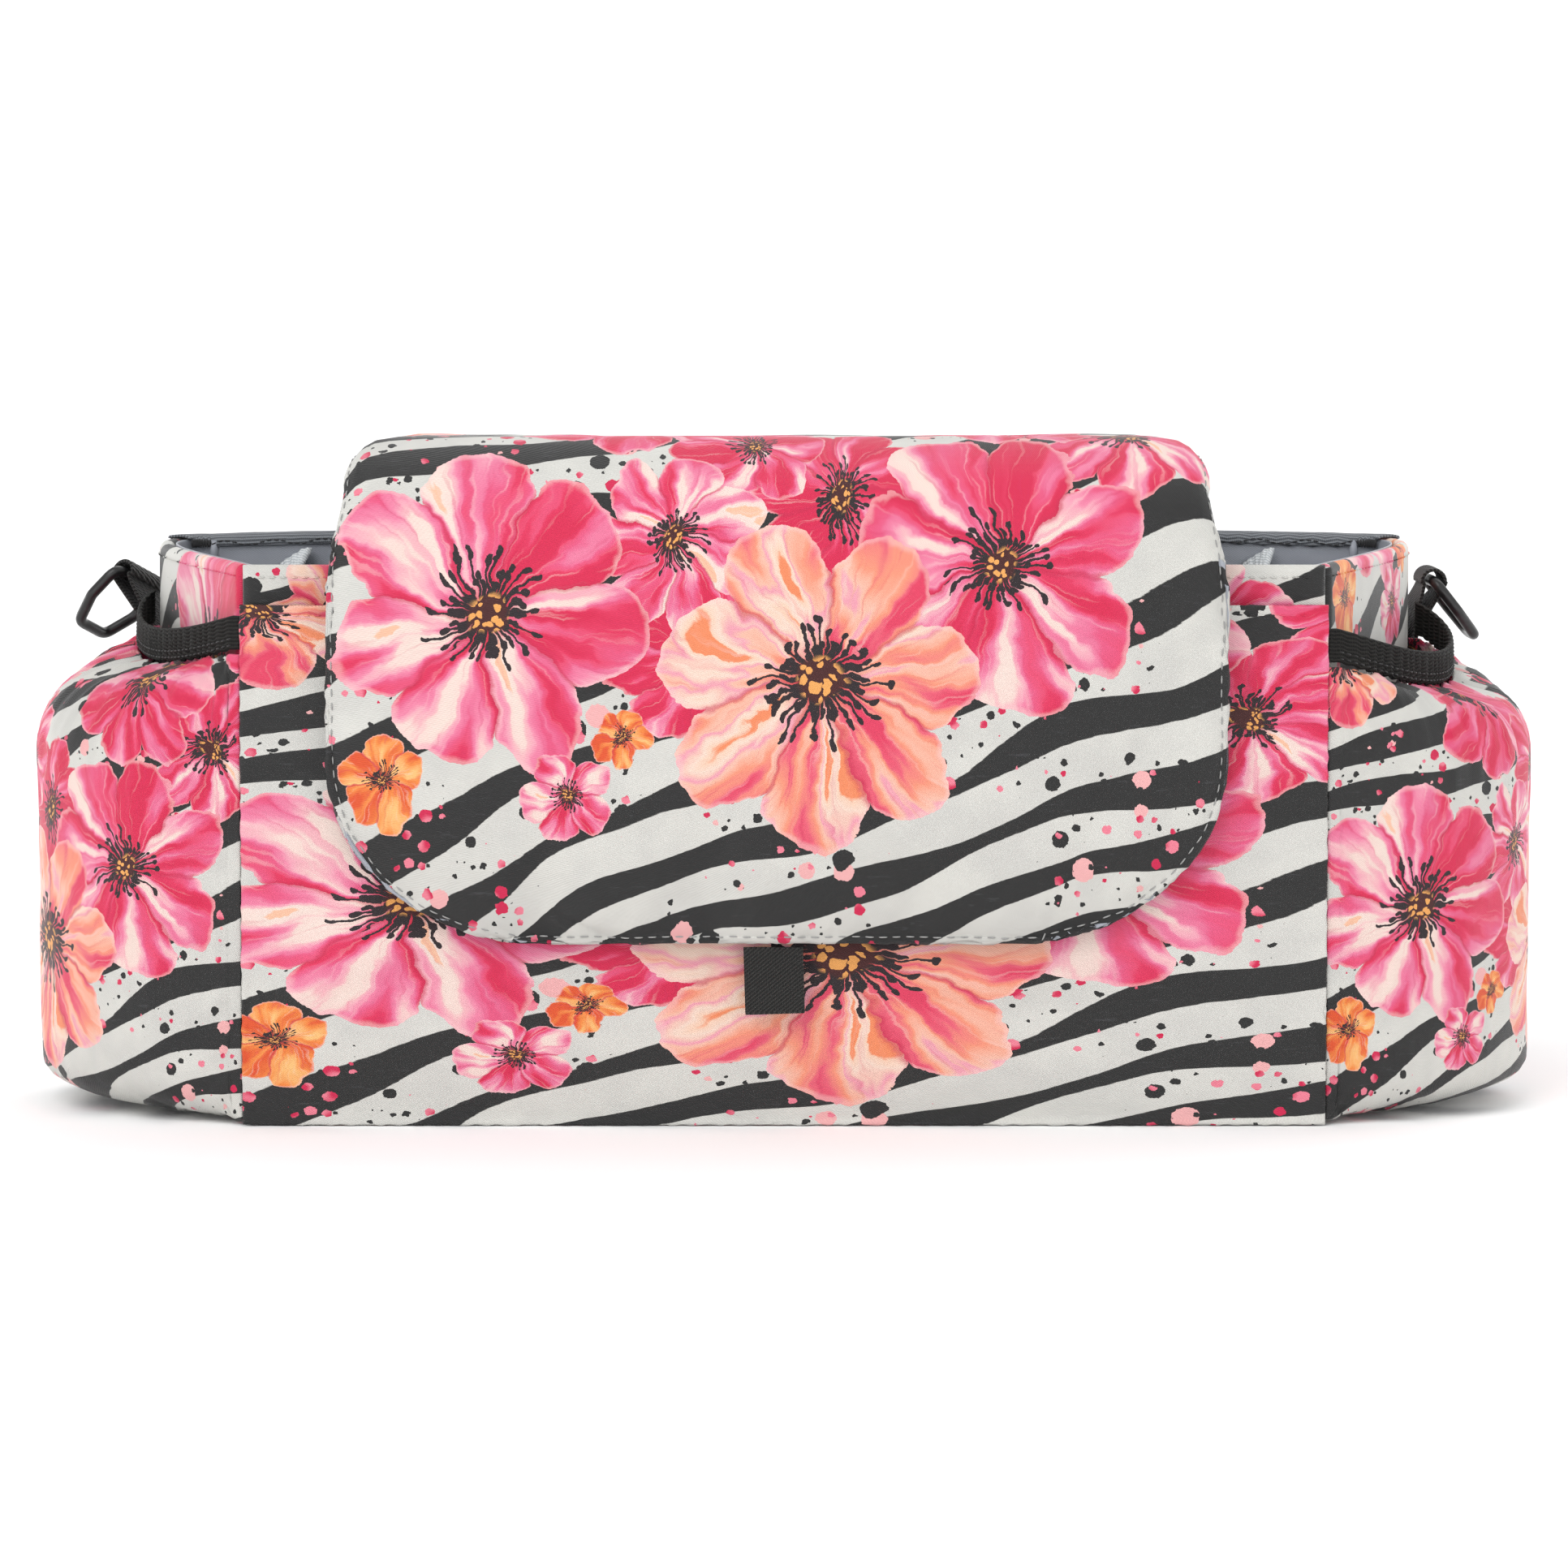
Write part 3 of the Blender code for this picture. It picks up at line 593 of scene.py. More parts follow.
def flat_places(middle, design):
    """The weave's place in metres, and the print's in millimetres, for each point of a grid."""
    down, across = grid_arcs(middle)
    zero = np.zeros_like(down)
    cloth = np.dstack([across - across.mean(), down, zero])
    if design is None:
        return {"cloth": cloth}
    return {"cloth": cloth, "print": np.dstack([design[0], design[1], zero])}


def sheet_solid(name, middle, half, finish, design=None, flip=1.0, normals=None, body="bag"):
    """A closed cloth solid on both sides of a grid of points. half is zero all round the border."""
    rows, cols = middle.shape[:2]
    normals = grid_normals(middle, flip) if normals is None else normals
    half = np.array(half, float)
    half[0], half[-1], half[:, 0], half[:, -1] = 0.0, 0.0, 0.0, 0.0
    outer = middle + normals * half[..., None]
    inner = middle - normals * half[..., None]
    index = np.arange(rows * cols).reshape(rows, cols)
    under = index.copy()
    under[1:-1, 1:-1] = rows * cols + np.arange((rows - 2) * (cols - 2)).reshape(rows - 2, cols - 2)
    points = np.vstack([outer.reshape(-1, 3), inner[1:-1, 1:-1].reshape(-1, 3)])
    faces = []
    for table, turned in ((index, flip < 0), (under, flip > 0)):
        a, b, c, d = table[:-1, :-1], table[:-1, 1:], table[1:, 1:], table[1:, :-1]
        quads = np.stack([a, b, c, d] if not turned else [a, d, c, b], axis=-1)
        faces += quads.reshape(-1, 4).tolist()
    places = {}
    for key, values in flat_places(middle, design).items():
        places[key] = np.vstack([values.reshape(-1, 3), values[1:-1, 1:-1].reshape(-1, 3)])
    return make_mesh(name, points, faces, finish, body, places)


# Machine stitches: pitch, length and thread radius
SEAM_STITCH = (0.0030, 0.0021, 0.00022)
BINDING_STITCH = (0.0021, 0.0016, 0.00020)
ELASTIC_STITCH = (0.0027, 0.0019, 0.00020)
LOOP_STITCH = (0.0022, 0.0016, 0.00020)
ANCHOR_STITCH = (0.0026, 0.0019, 0.00022)
FLAP_STITCH = (0.0038, 0.0025, 0.00022)
PATCH_STITCH = (0.0026, 0.0019, 0.00020)
# A stitch's rings: their place along it in lengths, their height in radii and their radius in radii
STITCH_SHAPE = (
    (-0.5, -0.55, 0.25),
    (-0.33, 0.35, 0.85),
    (0.0, 0.75, 1.0),
    (0.33, 0.35, 0.85),
    (0.5, -0.55, 0.25),
)


def edged(count, edge):
    """Places from 0 to 1, even in the middle and close together within edge of both ends."""
    near = np.array([0.0, 0.06, 0.18, 0.38, 0.66, 1.0]) * edge
    inner = np.linspace(edge, 1.0 - edge, count)
    return np.concatenate([near[:-1], inner, 1.0 - near[:-1][::-1]])


def round_edge(distance, half, radius):
    """Half thickness at a distance from the edge: a rounded border of the given radius."""
    share = np.clip(distance / radius, 0.0, 1.0)
    return half * np.sqrt(1.0 - (1.0 - share) ** 2)


def band_solid(name, centres, halves, thickness, finish, ribs, cols, wave=None, body="bag"):
    """Webbing or tape along a line of centres, with its half width as a vector at each.

    ribs is how many raised ribs lie side by side across its width, and wave gives the points of its grid a move.
    """
    centres, halves = np.asarray(centres, float), np.asarray(halves, float)
    across = edged(cols, 0.09) * 2.0 - 1.0
    middle = centres[:, None, :] + halves[:, None, :] * across[None, :, None]
    width = np.linalg.norm(halves, axis=1)[:, None] * 2.0
    length = grid_arcs(middle)[0][:, middle.shape[1] // 2]
    side = (1.0 - np.abs(across))[None, :] * width / 2.0
    ends = np.minimum(length, length[-1] - length)[:, None]
    distance = np.minimum(side, ends)
    half = round_edge(distance, thickness / 2.0, thickness * 0.7)
    if ribs:
        half = half * (1.0 + 0.16 * np.cos(across * math.pi * ribs))[None, :]
    if wave is not None:
        middle = middle + wave(across, length)
    return sheet_solid(name, middle, half, finish, body=body)


def smooth_line(points, count):
    """Points evenly spaced along a Catmull-Rom curve through the given ones."""
    points = np.asarray(points, float)
    points = np.vstack([2 * points[0] - points[1], points, 2 * points[-1] - points[-2]])
    dense = []
    for a, b, c, d in zip(points, points[1:], points[2:], points[3:]):
        for t in np.linspace(0.0, 1.0, 12, endpoint=False):
            value = 2 * b + (c - a) * t + (2 * a - 5 * b + 4 * c - d) * t * t
            dense.append((value + (3 * b - a - 3 * c + d) * t**3) / 2.0)
    dense.append(points[-2])
    return even_line(np.array(dense), count)


def even_line(line, count):
    """A line's points at even distances along it."""
    line = np.asarray(line, float)
    along = lengths(line)
    wanted = np.linspace(0.0, along[-1], count)
    return np.stack([np.interp(wanted, along, line[:, i]) for i in range(line.shape[1])], axis=1)


def cornered_line(corners, count):
    """Points along straight lines from corner to corner, count on each."""
    return np.vstack([even_line([a, b], count) for a, b in zip(corners, corners[1:])])


def tube_solid(name, path, radius, finish, sides, up, closed=False, body="bag"):
    """A tube along a path of points, closed on itself or with flat ends. up is never along the path."""
    count = len(path)
    if closed:
        tangent = unit(np.roll(path, -1, axis=0) - np.roll(path, 1, axis=0))
    else:
        tangent = unit(np.gradient(path, axis=0))
    side = unit(np.cross(tangent, up))
    other = np.cross(side, tangent)
    turns = (np.arange(sides) * TAU / sides)[None, :, None]
    ring = side[:, None] * np.cos(turns) + other[:, None] * np.sin(turns)
    points = (path[:, None] + ring * radius).reshape(-1, 3)
    faces = []
    for i in range(count if closed else count - 1):
        j = (i + 1) % count
        for k in range(sides):
            m = (k + 1) % sides
            faces.append((i * sides + k, i * sides + m, j * sides + m, j * sides + k))
    if not closed:
        faces.append(tuple(range(sides))[::-1])
        faces.append(tuple(range((count - 1) * sides, count * sides)))
    return make_mesh(name, points, faces, finish, body)


def stitch_rows(name, rows, finish, size, slot=None, body="bag"):
    """Machine stitches of a size along lines of points on a surface.

    Each row is (points, normals[, print places]), and the normals may be one vector for all the points.
    """
    pitch, length, radius = size
    design = len(rows[0]) == 3
    turns = np.arange(6) * TAU / 6
    points, faces, prints = [], [], []
    for row in rows:
        line = np.asarray(row[0], float)
        normal = np.broadcast_to(np.asarray(row[1], float), line.shape)
        along = lengths(line)
        count = max(1, int(along[-1] / pitch))
        spots = (np.arange(count) + 0.5) * along[-1] / count

        def at(values, spots=spots, along=along):
            return np.stack([np.interp(spots, along, values[:, i]) for i in range(values.shape[1])], axis=1)

        centre, out = at(line), unit(at(normal))
        ahead = unit(at(unit(np.gradient(line, axis=0))))
        beside = unit(np.cross(out, ahead))
        colours = at(np.asarray(row[2], float)) if design else None
        for i in range(count):
            start = len(points)
            for shift, lift, share in STITCH_SHAPE:
                hub = centre[i] + ahead[i] * shift * length + out[i] * lift * radius
                for turn in turns:
                    ring = beside[i] * math.cos(turn) + out[i] * math.sin(turn)
                    points.append(hub + ring * radius * share)
                    if design:
                        prints.append((*colours[i], 0.0))
            for ring in range(4):
                for k in range(6):
                    m = (k + 1) % 6
                    a, b = start + ring * 6, start + ring * 6 + 6
                    faces.append((a + m, a + k, b + k, b + m))
            faces.append(tuple(start + k for k in range(6)))
            faces.append(tuple(start + 24 + k for k in range(5, -1, -1)))
    places = {"cloth": np.array(points)}
    if design:
        places["print"] = np.array(prints)
    return make_mesh(name, points, faces, finish, body, places, slot)


def ripple(a, b, seed, waves=6):
    """Smooth seeded unevenness over two coordinates, about -1 to 1."""
    rng = np.random.RandomState(seed)
    total = np.zeros(np.broadcast(a, b).shape)
    for k in range(waves):
        per_a, per_b = rng.uniform(0.5, 1.6, 2) * (1.0 + 0.5 * k)
        first = np.sin(a * per_a * TAU + rng.uniform(0, TAU))
        total = total + first * np.sin(b * per_b * TAU + rng.uniform(0, TAU)) / (1 + 0.4 * k)
    return total / 2.2


# ---------------------------------------------------------------- cloth simulation


def puff(middle, flip, pressure, cap, frames=16, held=None):
    """A grid of cloth held at its border, blown up a little by pressure, with each point's move capped."""
    rows, cols = middle.shape[:2]
    index = np.arange(rows * cols).reshape(rows, cols)
    a, b, c, d = index[:-1, :-1], index[:-1, 1:], index[1:, 1:], index[1:, :-1]
    quads = np.stack([a, b, c, d] if flip > 0 else [a, d, c, b], axis=-1).reshape(-1, 4).tolist()
    mesh = bpy.data.meshes.new("puff")
    mesh.from_pydata(middle.reshape(-1, 3).tolist(), [], quads)
    cloth = bpy.data.objects.new("puff", mesh)
    bpy.context.scene.collection.objects.link(cloth)
    hold = np.zeros((rows, cols), bool)
    hold[0], hold[-1], hold[:, 0], hold[:, -1] = True, True, True, True
    if held is not None:
        hold |= held
    group = cloth.vertex_groups.new(name="held")
    group.add(index[hold].tolist(), 1.0, "REPLACE")
    layer = cloth.modifiers.new("Cloth", "CLOTH")
    layer.settings.vertex_group_mass = "held"
    layer.settings.quality = 5
    layer.settings.mass = 0.15
    layer.settings.tension_stiffness = 25.0
    layer.settings.compression_stiffness = 8.0
    layer.settings.shear_stiffness = 8.0
    layer.settings.bending_stiffness = 0.4
    layer.settings.shrink_min = -0.012
    layer.settings.use_pressure = True
    layer.settings.uniform_pressure_force = pressure
    layer.settings.effector_weights.gravity = 0.0
    layer.point_cache.frame_start = 1
    layer.point_cache.frame_end = frames
    scene = bpy.context.scene
    for number in range(1, frames + 1):
        scene.frame_set(number)
    graph = bpy.context.evaluated_depsgraph_get()
    final = np.array([v.co for v in cloth.evaluated_get(graph).data.vertices], float).reshape(rows, cols, 3)
    bpy.data.objects.remove(cloth)
    bpy.data.meshes.remove(mesh)
    scene.frame_set(1)
    move = final - middle
    size = np.linalg.norm(move, axis=2, keepdims=True)
    return middle + move * np.minimum(1.0, cap / np.maximum(size, 1e-9))


# ---------------------------------------------------------------- the shapes that the CAD part has


def end_curve(side, t, inset=0.0):
    """Plan points and outward normals of an end wall: t runs from the front seam to the back one."""
    t = np.asarray(t, float)
    controls = (
        (FRONT_HALF, FRONT_Y),
        (FRONT_HALF + END_FRONT_PULL[0], FRONT_Y + END_FRONT_PULL[1]),
        (BACK_HALF + END_BACK_PULL, BACK_Y),
        (BACK_HALF, BACK_Y),
    )
    s = 1.0 - t
    weights = (s**3, 3 * s * s * t, 3 * s * t * t, t**3)
    slopes = (-3 * s * s, 3 * s * s - 6 * s * t, 6 * s * t - 3 * t * t, 3 * t * t)
    x, y = (sum(w * c[i] for w, c in zip(weights, controls)) for i in (0, 1))
    dx, dy = (sum(w * c[i] for w, c in zip(slopes, controls)) for i in (0, 1))
    length = np.hypot(dx, dy)
    out = np.stack([side * dy / length, -dx / length, np.zeros_like(dx)], axis=-1)
    points = np.stack([side * x, y, np.zeros_like(x)], axis=-1)
    return points - out * np.asarray(inset)[..., None], out


def end_start(inset, y):
    """The t at which an end wall's inset line reaches y."""
    table = np.linspace(0.0, 0.5, 800)
    return float(np.interp(y, end_curve(1.0, table, np.full(800, inset))[0][:, 1], table))


def border_distance(rows, cols):
    """Distance to the nearest border for a grid whose row and column places are given in metres."""
    rows, cols = np.asarray(rows, float), np.asarray(cols, float)
    down = np.minimum(rows - rows[0], rows[-1] - rows)
    across = np.minimum(cols - cols[0], cols[-1] - cols)
    return np.minimum(down[:, None], across[None, :])


def declare_sheet(middle):
    """Works out a sheet's area, width and length from its grid of points, and keeps none of them."""
    down, across = grid_arcs(middle)
    a = middle[1:, :-1] - middle[:-1, 1:]
    b = middle[1:, 1:] - middle[:-1, :-1]
    area = float(np.linalg.norm(np.cross(a, b), axis=2).sum() / 2.0)
    width, length = float(across.max()), float(down.max())
    area = min(area, width * length)


# ---------------------------------------------------------------- walls and bottom


def wall_columns(side, inset, start, count):
    """Plan points, normals and lengths along an end wall."""
    t = start + (1.0 - start) * edged(count, 0.03)
    points, out = end_curve(side, t, np.full(len(t), inset))
    return points, out, lengths(points)


def rim_rise(x):
    """How far the back rim stands above the end walls' rim, most in the middle."""
    return BACK_RISE * np.clip(1.0 - (np.asarray(x) / BACK_HALF) ** 2, 0.0, 1.0)


def rise_of_back(x_cols, z_rows):
    """The same rise for a grid over the back, fading out down the wall."""
    return rim_rise(x_cols)[None, :] * (z_rows[:, None] / RIM_Z) ** 4


def end_design(side, arc, z):
    """The print's place on an end wall, in mm, for a length along it and a height in metres."""
    if side < 0:
        return -58 - arc * 1000, z * 1000 + 20
    return -126 + arc * 1000, z * 1000 - 48


def build_walls():
    """The padded outer walls and the bottom."""
    z_rows = RIM_Z * edged(22, 0.03)
    mid, half = WALL / 2.0, WALL / 2.0 - 0.00005
    x_cols = (edged(70, 0.012) * 2.0 - 1.0) * (FRONT_HALF - 0.0002)
    middle = np.dstack(np.broadcast_arrays(x_cols[None, :], FRONT_Y + mid, z_rows[:, None])).astype(float)
    thick = round_edge(border_distance(z_rows, x_cols), half, WALL_EDGE)
    design = np.broadcast_arrays(x_cols[None, :] * 1000 + 8, z_rows[:, None] * 1000 + 96)
    made = sheet_solid("front_wall", middle, thick, PRINT, design)
    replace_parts(made, "front_panel", "front_foam")

    x_cols = (edged(74, 0.012) * 2.0 - 1.0) * (BACK_HALF - 0.0003)
    middle = np.dstack(np.broadcast_arrays(x_cols[None, :], BACK_Y - mid, z_rows[:, None])).astype(float)
    slack = np.sin(math.pi * z_rows / RIM_Z)[:, None]
    middle[..., 1] -= 0.0005 * ripple(x_cols[None, :] * 6, z_rows[:, None] * 6, 3) * slack
    middle[..., 2] += rise_of_back(x_cols, z_rows)
    thick = round_edge(border_distance(z_rows, x_cols), half, WALL_EDGE)
    design = np.broadcast_arrays(x_cols[None, :] * -1000, z_rows[:, None] * 1000 + 62)
    made = sheet_solid("back_wall", middle, thick, PRINT, design, -1.0)
    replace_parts(made, "back_panel", "back_foam")

    start = end_start(0.0, FRONT_Y + WALL + GAP)
    for name, side in SIDES.items():
        points, out, arc = wall_columns(side, mid, start, 44)
        middle = points[None, :, :] + z_rows[:, None, None] * UP
        thick = round_edge(border_distance(z_rows, arc), half, WALL_EDGE)
        design = np.meshgrid(*end_design(side, arc, z_rows))
        normals = np.broadcast_to(out[None], middle.shape)
        made = sheet_solid(f"{name}_end_wall", middle, thick, PRINT, design, side, normals)
        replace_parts(made, f"{name}_end_panel", f"{name}_end_foam")

    build_floor_piece("bottom_cloth", *BOTTOM, PRINT, ("base_panel", "base_board"))


def build_floor_piece(name, inset, low, high, finish, nodes):
    """A bottom piece inside the walls' inset line."""
    t = np.linspace(end_start(inset, FRONT_Y + inset), 1.0, 400)
    line = end_curve(1.0, t, np.full(400, inset))[0]
    y_rows = line[0, 1] + (line[-1, 1] - line[0, 1]) * edged(20, 0.02)
    halves = np.interp(y_rows, line[:, 1], line[:, 0])
    u = edged(40, 0.01) * 2.0 - 1.0
    x = halves[:, None] * u[None, :]
    middle = np.dstack([x, np.broadcast_to(y_rows[:, None], x.shape), np.full(x.shape, (low + high) / 2)])
    distance = np.minimum(
        np.minimum(y_rows - y_rows[0], y_rows[-1] - y_rows)[:, None],
        halves[:, None] * (1.0 - np.abs(u))[None, :],
    )
    thick = round_edge(distance, (high - low) / 2.0, (high - low) / 2.0)
    design = (x * 1000, np.broadcast_to(-y_rows[:, None] * 1000 + 20, x.shape))
    made = sheet_solid(name, middle, thick, finish, design, -1.0)
    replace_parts(made, *nodes)
    if finish is PRINT:
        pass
    else:
        declare_sheet(middle)


def build_lining():
    """The satin lining, slightly slack between its seams."""
    foot = LINING_FOOT
    z_rows = foot + (RIM_Z - 0.0004 - foot) * edged(30, 0.012)
    share = (z_rows - foot) / (RIM_Z - foot)
    depth = LINING_OUT + 0.0004
    slack = np.sin(math.pi * share) ** 0.6

    for name, edge_y, way, flip in (("front", FRONT_Y, 1.0, -1.0), ("back", BACK_Y, -1.0, 1.0)):
        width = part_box(f"{name}_lining")[1].x - 0.0002
        x_cols = (edged(90, 0.006) * 2.0 - 1.0) * width
        uneven = ripple(x_cols[None, :] * 13, share[:, None] * 1.2, 11 + int(way))
        creases = LINING_CREASE * slack[:, None] * (1.0 + uneven)
        y = edge_y + way * (depth + np.maximum(creases, 0.0))
        middle = np.dstack(np.broadcast_arrays(x_cols[None, :], y, z_rows[:, None])).astype(float)
        if name == "back":
            middle[..., 2] += rise_of_back(x_cols, z_rows)
        thick = round_edge(border_distance(z_rows, x_cols), LINING_HALF, LINING_EDGE)
        made = sheet_solid(f"{name}_lining_cloth", middle, thick, LINING, flip=flip)
        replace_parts(made, f"{name}_lining")
        declare_sheet(middle)

    start = end_start(LINING_OUT, FRONT_Y + LINING_IN + GAP)
    for name, side in SIDES.items():
        points, out, arc = wall_columns(side, depth, start, 50)
        u = arc / arc[-1]
        uneven = ripple(u[None, :] * 2.2, share[:, None] * 1.2, 21 + int(side))
        creases = LINING_CREASE * slack[:, None] * (1.0 + uneven)
        creases *= np.sin(math.pi * u)[None, :] ** 0.4
        middle = points[None] + z_rows[:, None, None] * UP - out[None] * np.maximum(creases, 0.0)[..., None]
        thick = round_edge(border_distance(z_rows, arc), LINING_HALF, LINING_EDGE)
        made = sheet_solid(f"{name}_end_lining_cloth", middle, thick, LINING, flip=-side)
        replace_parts(made, f"{name}_end_lining")
        declare_sheet(middle)
        for label, y_edge, way in (("front", FRONT_Y, 1.0), ("back", BACK_Y, -1.0)):
            x = side * (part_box(f"{label}_lining")[1].x - 0.0006)
            y = y_edge + way * (depth + 0.0004)
            path = np.array([(x, y, z) for z in np.linspace(foot, RIM_Z - 0.0008, 40)])
            path[:, 0] += 0.0002 * np.sin(path[:, 2] * 160)
            seam = f"{name}_{label}_lining_seam"
            tube_solid(seam, path, SEAM_RADIUS, LINING, 12, (1.0, 0.0, 0.0))
    build_floor_piece("floor_lining_cloth", *FLOOR_LINING, LINING, ("base_lining",))


def back_rim_line(count):
    """Plan points, outward normals and lengths along the back rim and round both its corners."""
    t = np.linspace(BINDING_END_T, 1.0, 80)
    straight = np.linspace(-BACK_HALF, BACK_HALF, 300)[1:-1]
    back = np.stack([straight, np.full(298, BACK_Y), np.zeros(298)], axis=1)
    left, right = end_curve(-1.0, t), end_curve(1.0, t[::-1])
    plan = np.vstack([left[0], back, right[0]])
    out = np.vstack([left[1], np.tile([0.0, 1.0, 0.0], (298, 1)), right[1]])
    packed = even_line(np.hstack([plan, out]), count)
    return packed[:, :3], unit(packed[:, 3:]), lengths(packed[:, :3])


def build_binding():
    """The grey tape folded over the back rim and round its corners, with pinked edges, and its stitches."""
    outer, inner = 0.0007, -LINING_IN - 0.0007
    low, top = -0.0030, 0.0007
    turn = (outer - inner) / 2.0
    path = [(outer, low), (outer, low + 0.0008), (outer, top - 0.0022)]
    for a in np.linspace(20, 160, 9):
        rise = (top - 0.0022) + 0.0022 * math.sin(math.radians(a))
        path.append(((outer + inner) / 2.0 + turn * math.cos(math.radians(a)), rise))
    path += [(inner, top - 0.0022), (inner, low + 0.0008), (inner, low)]
    path = even_line(smooth_line(np.array(path), 60), 34)
    plan, out, arc = back_rim_line(701)
    tooth = np.abs(((arc / 0.0024) % 1.0) - 0.5) * 2.0
    from_end = np.clip(np.minimum(arc, arc[-1] - arc) / 0.016, 0.0, 1.0)
    narrow = 0.30 + 0.70 * from_end * from_end * (3.0 - 2.0 * from_end)
    rows = len(path)
    height = top - (top - path[:, 1])[:, None] * narrow[None, :]
    height = height + 0.00018 * ripple(arc[None, :] * 20, np.arange(rows)[:, None] / 30.0, 17)
    ends = np.minimum(np.arange(rows), rows - 1 - np.arange(rows))
    pull = np.clip(1.0 - ends / 2.0, 0.0, 1.0)
    height = height + pull[:, None] * tooth[None, :] * 0.0008 * narrow[None, :]
    height = height + RIM_Z + rim_rise(plan[:, 0])[None, :]
    middle = plan[None] + out[None] * path[:, 0][:, None, None] + height[..., None] * UP
    thick = np.full(height.shape, BINDING_HALF)
    made = sheet_solid("rim_binding", middle, thick, DARK_TAPE, flip=-1.0)
    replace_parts(made, "back_rim_binding")
    declare_sheet(middle)
    rows = []
    for offset, way in ((inner - 0.0004, -1.0), (outer + 0.0004, 1.0)):
        keep = slice(34, -34)
        line = plan[keep] + out[keep] * offset
        zigzag = 0.0006 * np.where(np.arange(len(line)) // 2 % 2, 1.0, -1.0)
        line = line + UP * (RIM_Z - 0.0016 + rim_rise(plan[keep, 0]) + zigzag)[:, None]
        rows.append((line, out[keep] * way))
    stitch_rows("binding_stitches", rows, DARK_THREAD, BINDING_STITCH, "dark_tape")


# ---------------------------------------------------------------- pockets

FRONT_POCKET_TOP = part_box("front_pocket")[1].z
FRONT_POCKET_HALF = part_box("front_pocket")[1].x + 0.0019
FRONT_POCKET_ROOM = 0.0055
CLOTH = 0.0010
POCKET_SPAN = (0.015, 0.70)
POCKET_BULGE = 0.0405
POCKET_SHARPNESS = 0.75
POCKET_FOOT_Z = 0.0013
POCKET_FOOT_RISE = 0.012
POCKET_SHOULDER_Z = 0.101
ELASTIC_FOOT_Z = {"left": 0.1335, "right": 0.1300}
ELASTIC_SAG = {"left": 0.0070, "right": 0.0100}
ELASTIC_HEIGHT = 0.0095
ELASTIC_THICK = 0.0016
MOUTH_ROOM = {"left": 0.0085, "right": 0.0165}
CLOTH_HALF = 0.00046
CLOTH_EDGE = 0.0006
# Distances below the front pocket's top edge, and the hem's thickness there as a share of the cloth's
POCKET_HEM = ((0.0, 0.0006, 0.0021, 0.0027, 0.0033, 0.006, 0.0068), (1.25, 1.3, 1.3, 0.75, 1.25, 1.25, 1.0))


def pocket_design(x, z):
    """The print's place on the front pocket, where it is printed wider and flatter."""
    return (x * 1000 - 16.7) / 1.31 + 10, (z * 1000 - 46.3) / 0.87 + 124


def build_front_pocket():
    """The slip pocket with its narrow stitched hem."""
    x_cols = (edged(110, 0.010) * 2.0 - 1.0) * FRONT_POCKET_HALF
    z_rows = FRONT_POCKET_TOP * edged(54, 0.020)
    x, z = np.meshgrid(x_cols, z_rows)
    across = 1.0 - np.abs(x / FRONT_POCKET_HALF) ** 6
    up = 1.0 - np.maximum(0.0, 1.0 - z / 0.030) ** 2
    room = GAP + FRONT_POCKET_ROOM * across * up + CLOTH / 2.0
    middle = np.dstack([x, FRONT_Y - room, z])
    held = (np.abs(x) < 0.030) & (np.abs(z - 0.073) < 0.016)
    middle = puff(middle, 1.0, *PUFF["front"], held=held)
    middle[..., 1] -= 0.00035 * ripple(x * 9, z * 9, 5) * across * up
    down = FRONT_POCKET_TOP - z
    distance = border_distance(z_rows, x_cols)
    thick = round_edge(distance, CLOTH_HALF, CLOTH_EDGE)
    thick = thick * np.interp(down, *POCKET_HEM)
    made = sheet_solid("front_pocket_cloth", middle, thick, PRINT, pocket_design(x, z))
    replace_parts(made, "front_pocket")
    declare_sheet(middle)
    row = int(np.argmin(np.abs(z_rows - (FRONT_POCKET_TOP - 0.0027))))
    line = middle[row, 6:-6] - np.array([0.0, 0.00038, 0.0])
    design = np.stack(pocket_design(line[:, 0], line[:, 2]), axis=1)
    stitches = [(line, (0.0, -1.0, 0.0), design)]
    stitch_rows("front_pocket_stitches", stitches, PRINT, SEAM_STITCH)


def pocket_places(count):
    """Shares along a pocket's mouth, close together at its ends, and their t on the end wall's curve."""
    u = 0.5 - 0.5 * np.cos(math.pi * (0.06 + 0.88 * np.linspace(0.0, 1.0, count)))
    return u, POCKET_SPAN[0] + (POCKET_SPAN[1] - POCKET_SPAN[0]) * u


def mouth_foot(name, u):
    """The height of the elastic's lower edge."""
    return ELASTIC_FOOT_Z[name] - ELASTIC_SAG[name] * np.sin(math.pi * u)


def mouth_room(name, u):
    """How far the elastic stands off the end wall."""
    return GAP + ELASTIC_THICK / 2 + MOUTH_ROOM[name] * np.sin(math.pi * u) ** POCKET_SHARPNESS


def pocket_profile(name, u):
    """Stand-off and height up a side pocket: a rounded foot, an upright wall and a shoulder."""
    bulge = POCKET_BULGE * math.sin(math.pi * u) ** POCKET_SHARPNESS
    top = mouth_foot(name, u) - GAP - CLOTH
    line = []
    for a in np.linspace(0.0, 90.0, 10):
        turn = math.radians(a)
        line.append((bulge * math.sin(turn), POCKET_FOOT_Z + POCKET_FOOT_RISE * (1.0 - math.cos(turn))))
    line.append((bulge, (POCKET_FOOT_Z + POCKET_FOOT_RISE + POCKET_SHOULDER_Z) / 2))
    mouth = min(mouth_room(name, u) - GAP, bulge)
    for a in np.linspace(0.0, 90.0, 12):
        turn = math.radians(a)
        out = mouth + (bulge - mouth) * math.cos(turn)
        line.append((out, POCKET_SHOULDER_Z + (top - POCKET_SHOULDER_Z) * math.sin(turn)))
    return line


